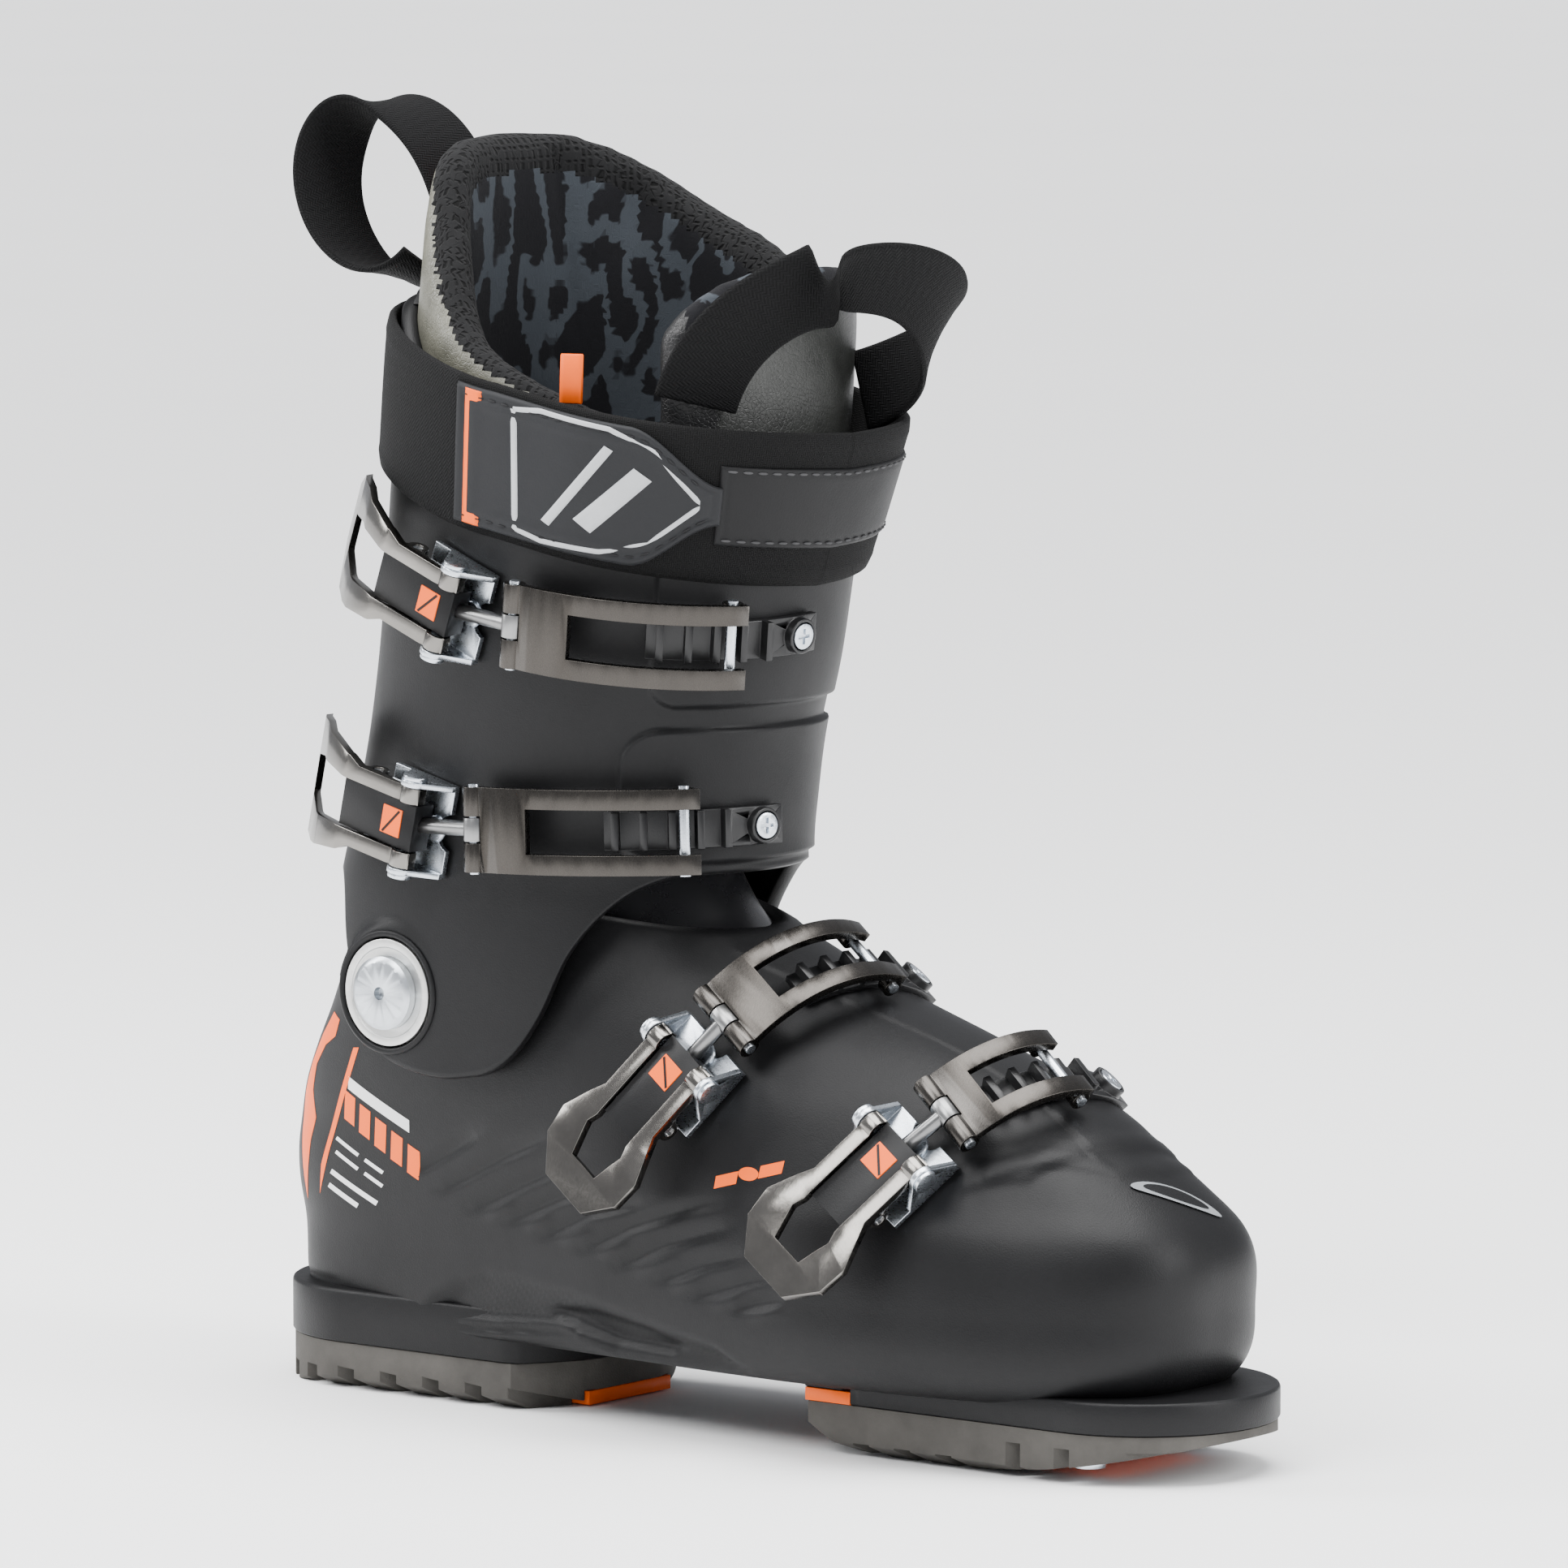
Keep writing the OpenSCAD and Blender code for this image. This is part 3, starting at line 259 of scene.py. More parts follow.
def grid_faces(rows, cols, closed_cols=False, closed_rows=False, flip=False):
    i = np.arange(rows if closed_rows else rows - 1)
    j = np.arange(cols if closed_cols else cols - 1)
    a, b = np.meshgrid(i, j, indexing="ij")
    p, q = (a + 1) % rows, (b + 1) % cols
    f = np.stack([a * cols + b, a * cols + q, p * cols + q, p * cols + b], -1).reshape(-1, 4)
    return (f[:, ::-1] if flip else f).tolist()


def grid_uv(p):
    """Metric texture coordinates, in mm, of a grid of points."""
    du = np.linalg.norm(np.diff(p, axis=1), axis=2).mean(0)
    dv = np.linalg.norm(np.diff(p, axis=0), axis=2).mean(1)
    u, v = np.r_[0, np.cumsum(du)], np.r_[0, np.cumsum(dv)]
    return np.stack(np.meshgrid(u, v), -1).reshape(-1, 2)


def rolled_edge(start, end, step):
    """Rows that round an edge over from one row to the facing one. step points out of the sheet."""
    step = step / np.maximum(np.linalg.norm(step, axis=-1, keepdims=True), TINY)
    half = np.linalg.norm(start - end, axis=-1, keepdims=True) / 2
    return [start * (1 - t) + end * t + step * half * math.sin(math.pi * t) for t in (0.15, 0.5, 0.85)]


def end_caps(rows, cols, gap=0):
    """Strips that close both ends of a wrapped grid, between facing points. gap rows lie beyond them."""
    faces = []
    for col, flip in ((0, False), (cols - 1, True)):
        for r in range(rows // 2 - (1 if gap else 0)):
            pair = [r, r + 1, (rows - 2 - r - gap) % rows, (rows - 1 - r - gap) % rows]
            if len(set(pair)) == 4:
                f = [i * cols + col for i in pair]
                faces.append(f[::-1] if flip else f)
    return faces


def sheet_solid(name, outer, inner, mats, body, closed=False, node=None, round_edge=True):
    """A closed skin between two grids (rows by columns) of the same size, its edges rounded or plain."""
    top = rolled_edge(outer[-1], inner[-1], outer[-1] - outer[-2]) if round_edge else []
    low = rolled_edge(inner[0], outer[0], outer[0] - outer[1]) if round_edge else []
    p = np.array([*outer, *top, *inner[::-1], *low])
    n, c = p.shape[:2]
    faces = grid_faces(n, c, closed_cols=closed, closed_rows=True)
    if not closed:
        faces += end_caps(n, c)
    o = make(name, p.reshape(-1, 3), faces, mats, body, node=node, uv=grid_uv(p))
    fix_normals(o)
    return o


def fix_normals(o):
    b = bmesh.new()
    b.from_mesh(o.data)
    bmesh.ops.recalc_face_normals(b, faces=b.faces)
    b.to_mesh(o.data)
    b.free()


# ---- materials
class Nodes:
    """Small helper to wire one material."""

    def __init__(self, name):
        self.mat = bpy.data.materials.new(name)
        self.mat.use_nodes = True
        self.tree = self.mat.node_tree
        self.bsdf = self.tree.nodes["Principled BSDF"]

    def add(self, kind, inputs=(), **settings):
        n = self.tree.nodes.new(kind)
        for key, value in settings.items():
            setattr(n, key, value)
        for key, value in dict(inputs).items():
            self.link(value, n.inputs[key])
        return n

    def link(self, value, socket):
        if hasattr(value, "outputs"):
            value = value.outputs[0]
        if isinstance(value, bpy.types.NodeSocket):
            self.tree.links.new(value, socket)
        else:
            socket.default_value = value

    def coords(self, uv=False, scale=(1, 1, 1), rot=(0, 0, 0)):
        if uv:
            source = self.add("ShaderNodeUVMap", uv_map="metric").outputs[0]
        else:
            source = self.add("ShaderNodeTexCoord").outputs["Object"]
        return self.add("ShaderNodeMapping", {"Vector": source, "Scale": scale, "Rotation": rot}).outputs[0]

    def noise(self, vec, scale, detail=3, rough=0.5):
        return self.add("ShaderNodeTexNoise",
                        {"Vector": vec, "Scale": scale, "Detail": detail, "Roughness": rough}).outputs[0]

    def ramp(self, fac, stops):
        n = self.add("ShaderNodeValToRGB", {0: fac})
        e = n.color_ramp.elements
        while len(e) < len(stops):
            e.new(0.5)
        for el, (pos, col) in zip(e, stops):
            el.position, el.color = pos, (*col, 1)
        return n.outputs[0]

    def span(self, fac, lo, hi):
        return self.add("ShaderNodeMapRange", {0: fac, "To Min": lo, "To Max": hi}).outputs[0]

    def math(self, op, a, b=0.0):
        return self.add("ShaderNodeMath", {0: a, 1: b}, operation=op).outputs[0]

    def mix(self, fac, a, b):
        return self.add("ShaderNodeMix", {0: fac, 6: opaque(a), 7: opaque(b)}, data_type="RGBA").outputs[2]

    def bump(self, height, strength, distance, normal=None):
        n = self.add("ShaderNodeBump", {"Height": height, "Strength": strength, "Distance": distance})
        if normal is not None:
            self.link(normal, n.inputs["Normal"])
        return n.outputs[0]

    def out(self, **values):
        for k, v in values.items():
            self.link(opaque(v), self.bsdf.inputs[k.replace("_", " ")])
        return self.mat


def opaque(value):
    return (*value, 1) if isinstance(value, tuple) and len(value) == 3 else value


def scaled(color, factor, plus=0.0):
    return tuple(min(1, c * factor + plus) for c in color)


def spread(m, fac, color, low, high, stops=(0.3, 0.7)):
    """Base colour that wanders between a darker and a lighter tone."""
    return m.ramp(fac, [(stops[0], scaled(color, low)), (stops[1], scaled(color, high))])


def plastic(name, color, rough, grain=0.25, size=2600, vary=0.25, spec=0.2):
    """Moulded plastic: fine spark-eroded grain, faint flow marks and handling marks."""
    m = Nodes(name)
    v = m.coords()
    broad = m.noise(v, 22, 4, 0.6)
    fine = m.noise(v, size, 2, 0.5)
    return m.out(Base_Color=spread(m, broad, color, 1 - vary, 1 + vary),
                 Roughness=m.span(m.noise(v, 60, 5, 0.7), rough - 0.07, rough + 0.07),
                 Normal=m.bump(fine, grain, 0.0002, m.bump(broad, 0.15, 0.0006)), Specular_IOR_Level=spec)


def metal(name, color, rough, brush=(1, 1, 1)):
    """Plated or satin metal: streaked roughness, fine scratches and faint staining."""
    m = Nodes(name)
    streak = m.noise(m.coords(scale=brush), 900, 3, 0.6)
    stain = m.noise(m.coords(), 90, 4, 0.6)
    edge = m.add("ShaderNodeNewGeometry").outputs["Pointiness"]
    worn = m.ramp(edge, [(0.5, (0, 0, 0)), (0.56, (1, 1, 1))])
    base = m.mix(m.math("MULTIPLY", worn, 0.35), spread(m, stain, color, 0.86, 1.1), scaled(color, 1.5, 0.1))
    streaked = m.math("ADD", m.span(streak, rough - 0.08, rough + 0.08), m.math("MULTIPLY", stain, 0.05))
    return m.out(Base_Color=base, Metallic=1.0, Roughness=streaked, Normal=m.bump(streak, 0.12, 0.0001))


def woven(name, warp, weft, pitch=0.9, diag=0.0, sheen=0.3):
    """Webbing or cloth from crossing threads, in metric texture coordinates."""
    m = Nodes(name)
    v = m.coords(uv=True, rot=(0, 0, diag))
    axes = m.add("ShaderNodeSeparateXYZ", {0: v}).outputs
    f = 2 * math.pi / pitch

    def ridges(value, turns):
        return m.math("SINE", m.math("MULTIPLY", value, turns))
    over = m.span(ridges(m.math("ADD", axes[0], axes[1]), f / 2), -0.2, 1.2)
    threads = m.add("ShaderNodeMix", {0: over, 2: m.math("ABSOLUTE", ridges(axes[0], f)),
                                      3: m.math("ABSOLUTE", ridges(axes[1], f))}).outputs[0]
    fuzz = m.noise(v, 3.0, 3, 0.7)
    broad = m.noise(v, 0.05, 3, 0.6)
    color = m.mix(m.math("MULTIPLY", threads, 0.8), weft, warp)
    color = m.mix(m.span(broad, 0.0, 0.35), color, scaled(warp, 0.6))
    height = m.math("ADD", threads, m.math("MULTIPLY", fuzz, 0.5))
    return m.out(Base_Color=color, Roughness=m.span(fuzz, 0.75, 0.93), Normal=m.bump(height, 0.7, 0.0003),
                 Sheen_Weight=sheen, Sheen_Roughness=0.5, Specular_IOR_Level=0.15)


def leather(name, color, rough=0.5):
    m = Nodes(name)
    v = m.coords()
    cells = m.add("ShaderNodeTexVoronoi", {"Vector": v, "Scale": 900}, feature="DISTANCE_TO_EDGE").outputs[0]
    crease = m.noise(v, 120, 5, 0.65)
    pores = m.ramp(cells, [(0.0, (0, 0, 0)), (0.12, (1, 1, 1))])
    return m.out(Base_Color=spread(m, crease, color, 0.7, 1.25),
                 Roughness=m.span(crease, rough - 0.1, rough + 0.1),
                 Normal=m.bump(pores, 0.35, 0.0002, m.bump(crease, 0.35, 0.0008)), Specular_IOR_Level=0.4)


def rubber(name, color, rough=0.75, marks=0.3):
    m = Nodes(name)
    v = m.coords()
    dust = m.noise(v, 45, 5, 0.65)
    fine = m.noise(v, 1800, 3, 0.6)
    return m.out(Base_Color=spread(m, dust, color, 1 - marks, 1 + marks, (0.3, 0.75)),
                 Roughness=m.span(dust, rough - 0.08, rough + 0.1),
                 Normal=m.bump(fine, 0.3, 0.0003, m.bump(dust, 0.25, 0.0008)), Specular_IOR_Level=0.2)


def camo(name, dark, light):
    """Soft lining with a broken pattern."""
    m = Nodes(name)
    v = m.coords(uv=True, scale=(1, 0.45, 1))
    base = m.ramp(m.noise(v, 0.09, 1, 0.3), [(0.44, dark), (0.455, light), (0.54, light), (0.555, dark)])
    pile = m.noise(v, 2.2, 4, 0.7)
    return m.out(Base_Color=m.mix(m.span(pile, 0, 0.4), base, (0.01, 0.01, 0.012)), Roughness=0.9,
                 Normal=m.bump(pile, 0.5, 0.0006), Sheen_Weight=0.03, Sheen_Roughness=0.4,
                 Specular_IOR_Level=0.15)


def mesh_knit(name, color):
    """Spacer mesh with small round holes."""
    m = Nodes(name)
    v = m.coords(uv=True)
    dots = m.add("ShaderNodeTexVoronoi", {"Vector": v, "Scale": 0.42, "Randomness": 0.25}).outputs["Distance"]
    hole = m.ramp(dots, [(0.18, (0, 0, 0)), (0.42, (1, 1, 1))])
    height = m.math("ADD", hole, m.math("MULTIPLY", m.noise(v, 2.5, 3, 0.7), 0.2))
    return m.out(Base_Color=m.mix(hole, scaled(color, 0.15), color), Roughness=0.9,
                 Normal=m.bump(height, 0.8, 0.0009), Sheen_Weight=0.03, Specular_IOR_Level=0.15)


BLACK = (0.0045, 0.0045, 0.005)
M = {
    "shell": plastic("shell_black", BLACK, 0.47, grain=0.35),
    "cuff": plastic("cuff_black", (0.0048, 0.0048, 0.0053), 0.48, grain=0.35),
    "gaiter": plastic("gaiter_black", (0.008, 0.008, 0.009), 0.28, grain=0.1, size=1200, spec=0.35),
    "dark": plastic("dark_plastic", (0.006, 0.006, 0.0065), 0.4, grain=0.2),
    "rack": plastic("rack_black", (0.008, 0.008, 0.0085), 0.33, grain=0.15, spec=0.35),
    "orange": plastic("orange_plastic", (0.9, 0.12, 0.002), 0.42, grain=0.15, vary=0.08),
    "orange_ink": plastic("orange_ink", (0.92, 0.12, 0.002), 0.4, grain=0.1, vary=0.05),
    "white_ink": plastic("white_ink", (0.78, 0.78, 0.78), 0.45, grain=0.1, vary=0.05),
    "grey_ink": plastic("grey_ink", (0.2, 0.21, 0.22), 0.45, grain=0.1, vary=0.1),
    "board": plastic("board_grey", (0.06, 0.06, 0.06), 0.6),
    "sole": rubber("sole_grey", (0.07, 0.066, 0.06)),
    "patch": rubber("patch_rubber", (0.013, 0.0135, 0.015), 0.6, 0.12),
    "strip": rubber("strip_rubber", (0.005, 0.005, 0.0055), 0.55, 0.12),
    "patch_ink": rubber("patch_ink", (0.42, 0.43, 0.44), 0.5, 0.1),
    "zinc": metal("zinc", (0.52, 0.56, 0.61), 0.26, brush=(1, 1, 3)),
    "lever": metal("lever_nickel", (0.15, 0.142, 0.13), 0.17, brush=(2, 2, 1)),
    "bail": metal("bail_gunmetal", (0.034, 0.03, 0.026), 0.25, brush=(3, 1, 1)),
    "rod": metal("rod_dark", (0.2, 0.2, 0.2), 0.3),
    "disc": metal("disc_satin", (0.6, 0.6, 0.585), 0.4),
    "bolt": metal("bolt_satin", (0.5, 0.53, 0.56), 0.3),
    "web": woven("webbing_black", (0.006, 0.006, 0.0062), (0.001, 0.001, 0.001), pitch=1.1, sheen=0.0),
    "chevron": woven("strap_chevron", (0.01, 0.01, 0.0105), (0.0015, 0.0015, 0.0015), pitch=1.4, diag=0.6,
                     sheen=0.0),
    "loop": woven("loop_webbing", (0.006, 0.006, 0.0065), (0.001, 0.001, 0.001), pitch=1.6, diag=0.35,
                  sheen=0.0),
    "knit": mesh_knit("edge_knit", (0.009, 0.009, 0.0095)),
    "camo": camo("lining_camo", (0.008, 0.008, 0.0095), (0.05, 0.058, 0.068)),
    "olive": leather("panel_olive", (0.11, 0.108, 0.085), 0.4),
    "leather": leather("tongue_black", (0.009, 0.009, 0.0095), 0.42),
    "panel": leather("tongue_panel", (0.022, 0.023, 0.021), 0.45),
    "lining": woven("liner_black", (0.01, 0.01, 0.0105), (0.003, 0.003, 0.003), pitch=1.0, sheen=0.06),
    "thread": rubber("thread_black", (0.014, 0.014, 0.015), 0.7, 0.2),
    "thread_light": rubber("thread_grey", (0.05, 0.05, 0.052), 0.7, 0.2),
    "bed": woven("footbed_top", (0.25, 0.06, 0.03), (0.08, 0.02, 0.01), pitch=1.2),
}

# ---- CAD pieces that show as they are
CAD_LOOK = {"toe_sole": "sole", "heel_sole": "sole", "toe_plate": "orange", "toe_shim": "orange",
            "heel_plate": "orange", "sole_screws": "zinc", "boot_board": "board", "pivot_bolts": "bolt",
            "pivot_nuts": "zinc", "pivot_discs": "disc", "shell_rivets": "zinc", "cuff_rivets": "zinc",
            "shell_rack_screws": "zinc", "cuff_rack_screws": "zinc", "rear_screws": "zinc",
            "rear_spoiler": "dark"}
for k in (1, 2, 3, 4):
    CAD_LOOK.update({f"base_{k}": "zinc", f"lever_{k}": "lever", f"link_pin_{k}": "zinc", f"barrel_{k}": "dark",
                     f"rod_{k}": "rod", f"bail_{k}": "bail", f"bail_pins_{k}": "zinc", f"rack_{k}": "rack"})
ROUND = {"toe_sole": 0.5, "heel_sole": 0.5, "lever": 0.45, "bail": 0.35, "base": 0.3, "rack": 0.3,
         "barrel": 0.35, "toe_plate": 0.3, "toe_shim": 0.3, "heel_plate": 0.3, "pivot_bolts": 0.3,
         "pivot_discs": 0.25}  # rounded edges, mm
for name, look in CAD_LOOK.items():
    o = frame["nodes"][name]
    o.data.materials.clear()
    o.data.materials.append(M[look])
    modifier(o, "WELD", merge_threshold=0.00002)
    width = ROUND.get(name, ROUND.get(name.split("_")[0], 0.15))
    modifier(o, "BEVEL", width=width / 1000, segments=3 if width > 0.2 else 2, limit_method="ANGLE",
             angle_limit=math.radians(32), use_clamp_overlap=True, harden_normals=True)
    o.data.polygons.foreach_set("use_smooth", np.ones(len(o.data.polygons), bool))


# ---- lower shell
GROOVES = [
    [(-88.2, 60.6), (-77.3, 66.1), (-65.5, 72.2)], [(-79.8, 56.1), (-56.6, 67.3), (-40.2, 73.9)],
    [(-68.5, 52.2), (-46.5, 61.9), (-29.2, 69.1)], [(-55.2, 50.4), (-36.4, 58.3), (-17.8, 63.9)],
    [(-41.6, 48), (-25, 55.9), (-6.3, 60.1)], [(-27.5, 46.1), (-11, 53.7), (11.7, 61), (22.2, 63.3)],
    [(-14.6, 43.1), (0.4, 50), (23.1, 56.8)], [(0.1, 40.9), (12.8, 45.9), (29.7, 50.4)],
    [(13, 38.3), (30.1, 43.7), (40.4, 46.1)], [(26.6, 36.6), (43, 41)]]
RIDGES = [
    [(-64.3, 50.8), (-51.8, 55.8)], [(-49.3, 49.7), (-39, 53.5)], [(-36.5, 47.4), (-23.6, 51.5)],
    [(-23, 45.2), (-10.9, 49.7)], [(-9.4, 42.2), (7.8, 48.5)], [(4.4, 39.6), (15.4, 43.5)],
    [(18, 36.6), (31.5, 40.8)], [(31.6, 35), (43, 38.4)]]
ARCH = [(-90.8, 24.2), (-84.5, 29.6), (-74.8, 35.3), (-64.8, 38.3), (-44.5, 37.3), (-25, 35.4), (-5.9, 32.1),
        (18.6, 28), (30, 19), (-20, 19), (-34, 23.9), (-47.1, 22.9), (-65.8, 21.2), (-87.8, 20.3)]
POCKET = [(-46.4, 29.2), (-39.6, 31.4), (-25.2, 31.7), (-6.4, 29.2), (8, 25), (0, 21), (-20, 22), (-33.4, 24.1)]


def wave(t, low=0.02):
    """Rises from either end of a line to its middle."""
    return np.sin(np.pi * np.clip(t, low, 1 - low))


def bell(d, width):
    return np.exp(-(d / width) ** 2)


def shell_relief(p):
    """How far the shell's skin stands out, in mm, from its grooves, arch recess and overlaps."""
    x, y, z = p[..., 0], p[..., 1], p[..., 2]
    side = ease((np.abs(y) - 22) / 8)
    out = np.zeros(x.shape)
    for g in GROOVES:
        d, t = line_distance(x, z, g)
        out -= side * wave(t) ** 0.6 * 1.25 * np.where(d > 0, bell(d, 2.8), bell(d, 0.8))
    for g in RIDGES:
        d, t = line_distance(x, z, g)
        out += side * 0.6 * wave(t) * bell(d, 0.9)
    edge, _ = line_distance(x, z, ARCH + [ARCH[0]])
    within = inside(x, z, ARCH)
    depth = np.where(within, ease(np.abs(edge) / 5), 0)
    lean = ease((38 - z) / 16)
    out -= side * depth * (0.6 + 2.4 * lean)
    knurl = np.sin((x * 0.9 + z * 0.55) * 2.4)
    out += side * depth * 0.22 * knurl * ease((x + 84) / 20)
    pd, _ = line_distance(x, z, POCKET + [POCKET[0]])
    out -= side * np.where(inside(x, z, POCKET), ease(np.abs(pd) / 2.5), 0) * 1.6
    slot_d, slot_t = line_distance(x, z, [(-88, 20.4), (-66, 21.2), (-47, 22.9), (-33, 24)])
    out += side * wave(slot_t, 0.03) ** 0.4 * (0.5 * bell(slot_d + 1.8, 1.0) - 1.6 * bell(slot_d, 0.7))
    # overlap flap along the instep, with its edge on the outer side
    lip = -15 + 6 * np.sin((x - 20) / 30)
    top = ease((z - 76) / 8) * ease((118 - x) / 8) * ease((x + 2) / 8)
    out += top * 1.1 * ease((y - lip) / 1.4)
    hook, _ = line_distance(x, y, [(88, -34), (101, -26.8), (107, -16), (112, 0), (113, 16), (104, 28)])
    hook2, _ = line_distance(x, y, [(93, -31), (104, -22), (118, -12), (121, 2), (119, 16)])
    front = ease((z - 62) / 6)
    out += front * (0.9 * ease(1.5 - np.abs(hook) / 2.4) + 0.7 * ease(1.5 - np.abs(hook2) / 2))
    # parting groove above the heel ledge
    out -= 0.5 * bell(z - 27.5, 0.8) * ease((-118 - x) / 8)
    return out


def shell_object():
    n = 620
    phi = even_angles(SHELL, 60, n)
    rim = shell_rim(phi)
    floor, arch = 27.5, 22
    rows = []
    for s in np.linspace(0, 1, 112):
        z = arch + (rim - arch) * s
        p = skin(SHELL, z, phi)
        rows.append(skin(SHELL, z, phi, shell_relief(p) * ease((1 - s) / 0.03 + 0.02)))
    for s in (0.15, 0.35, 0.5, 0.65, 0.85):
        rows.append(rows[111] * (1 - s) + under(rim, phi, SHELL_WALL) * s)
        rows[-1][:, 2] += 1.3 * math.sin(math.pi * s)
    rows += [under(rim + (floor - rim) * s, phi, SHELL_WALL + 0.6 * s) for s in np.linspace(0, 1, 36)]
    rows += [rows[-1] * np.array([1, s, 1]) for s in (0.8, 0.5, 0.2, 0.02)]
    bottom = []
    for s, dz in ((0.96, -0.25), (0.88, -0.4), (0.6, -0.45), (0.3, -0.45), (0.02, -0.45)):
        q = rows[0] * np.array([1, s, 1])
        q[:, 0] = (q[:, 0] + 7) * (0.995 if s > 0.9 else 0.985) - 7
        q[:, 2] += dz
        bottom.append(q)
    p = np.array(bottom[::-1] + rows)
    make("shell_skin", p.reshape(-1, 3), grid_faces(len(p), n, closed_cols=True), M["shell"], "shell",
         node="lower_shell")


def ledge(name, outline, levels):
    """A bevelled block: rings of an outline at (z, inset) levels, closed at both ends."""
    pts = np.array(outline, float)
    along = np.roll(pts, -1, 0) - np.roll(pts, 1, 0)
    outwards = np.stack([along[:, 1], -along[:, 0]], -1)
    outwards /= np.maximum(np.linalg.norm(outwards, axis=1, keepdims=True), TINY)
    verts = np.concatenate([np.c_[pts - outwards * inset, np.full(len(pts), z)] for z, inset in levels])
    c = len(pts)
    faces = grid_faces(len(levels), c, closed_cols=True)
    faces += [list(range(c))[::-1], list(range(len(verts) - c, len(verts)))]
    o = make(name, verts, faces, M["shell"], "shell", smooth=False)
    fix_normals(o)
    o.data.polygons.foreach_set("use_smooth", [len(p.vertices) == 4 for p in o.data.polygons])


HALF_LEDGE = 35  # a binding's ledges are 70 mm wide with round ends


def ledge_end(x, lo, hi):
    return [(x + HALF_LEDGE * math.cos(a), HALF_LEDGE * math.sin(a)) for a in np.linspace(lo, hi, 73)]


def edge_line(x0, x1, y, n):
    return [(x, y) for x in np.linspace(x0, x1, n)]


def toe_outline(x0):
    return (ledge_end(117.5, -math.pi / 2, math.pi / 2) + edge_line(112, x0, HALF_LEDGE, 20)
            + [(x0, y) for y in np.linspace(30, -30, 16)] + edge_line(x0, 112, -HALF_LEDGE, 20))


def heel_outline():
    bow = math.asin(0.68)
    front = [(-94.5 + 50 * math.cos(a), 50 * math.sin(a)) for a in np.linspace(-bow, bow, 41)]
    return (ledge_end(-117.5, math.pi / 2, 1.5 * math.pi) + edge_line(-112, -62, -HALF_LEDGE, 16)
            + front + edge_line(-62, -112, HALF_LEDGE, 16))


shell_object()
ledge("toe_ledge_block", toe_outline(52.1), [(13.3, 0.3), (13.7, 0.0), (20.6, 0.0), (21.2, 0.25), (21.5, 0.8)])
ledge("toe_ledge_back", [(x, y) for x, y in toe_outline(37.6) if x <= 52.5],
      [(16.75, 0.2), (17.0, 0.0), (20.6, 0.0), (21.4, 0.6)])
ledge("heel_ledge_block", heel_outline(), [(12.5, 0.3), (12.9, 0.0), (25.4, 0.0), (26.1, 0.25), (26.5, 0.9)])

# ---- cuff
PIVOT = (-90.0, 108.5)
RIPPLES = [
    [(-103, 203), (-96, 192), (-88, 187)], [(-104, 192), (-97, 181), (-88, 176)],
    [(-105, 181), (-98, 171), (-89, 166)], [(-106, 170), (-99, 160), (-90, 155)],
    [(-101, 214), (-94, 203), (-87, 199)], [(-107, 159), (-101, 150), (-93, 145)]]
FLAPS = [(149.5, 184, 308, 9), (190, 232, 313, 8)]  # low, high, first angle, corner radius
FLAP_END = 418
CUFF_WALL = 4
SEAT_Y = 47.3  # flat seat of a cant disc, sunk by 2.4 under the disc


def cuff_relief(p, z, phi):
    x, y, real = p[..., 0], p[..., 1], p[..., 2]
    out = np.zeros(x.shape)
    side = ease((np.abs(y) - 15) / 8)
    for g in RIPPLES:
        d, t = line_distance(x, real, g)
        out -= side * 0.9 * wave(t, 0.03) ** 0.7 * np.where(d > 0, bell(d, 2.2), bell(d, 0.8))
    ang = np.where(phi < 180, phi + 360, phi)
    for lo, hi, start, corner in FLAPS:
        u = np.minimum(ang - start, FLAP_END - ang) * MM_PER_DEGREE
        v = np.minimum(z - lo, hi - z)
        round_off = corner - np.hypot(np.clip(corner - u, 0, None), np.clip(corner - v, 0, None))
        d = np.where((u < corner) & (v < corner), round_off, np.minimum(u, v))
        out = np.maximum(out, 1.6 * ease(d / 0.9 + 0.5) * ease((ang - start + 4) / 3))
    return out


def cuff_object():
    n = 600
    phi = even_angles(CUFF, 200, n)
    lo, hi = cuff_low(phi), cuff_top(phi)
    rows = []
    for s in np.linspace(0, 1, 150):
        z = lo + (hi - lo) * s
        p = skin(CUFF, z, phi)
        q = skin(CUFF, z, phi, cuff_relief(p, z, phi) * ease(s / 0.02 + 0.02))
        r = np.hypot(q[:, 0] - PIVOT[0], q[:, 2] - PIVOT[1])
        seat = np.sign(q[:, 1]) * np.where(r < 14.6, SEAT_Y - 2.4, SEAT_Y)
        w = 1 - ease((r - 16.4) / 3.2)
        q[:, 1] = q[:, 1] * (1 - w) + seat * w
        rows.append(q)

    def closing(a, b, step):
        return [a * (1 - s) + b * s + np.array([0, 0, step * math.sin(math.pi * s)])
                for s in (0.12, 0.35, 0.65, 0.88)]
    inner = [skin(CUFF, hi + (lo - hi) * s, phi, -CUFF_WALL) for s in np.linspace(0, 1, 24)]
    p = np.array(rows + closing(rows[-1], inner[0], 0.9) + inner + closing(inner[-1], rows[0], -0.9))
    make("cuff_skin", p.reshape(-1, 3), grid_faces(len(p), n, closed_cols=True, closed_rows=True), M["cuff"],
         "cuff", node="cuff")


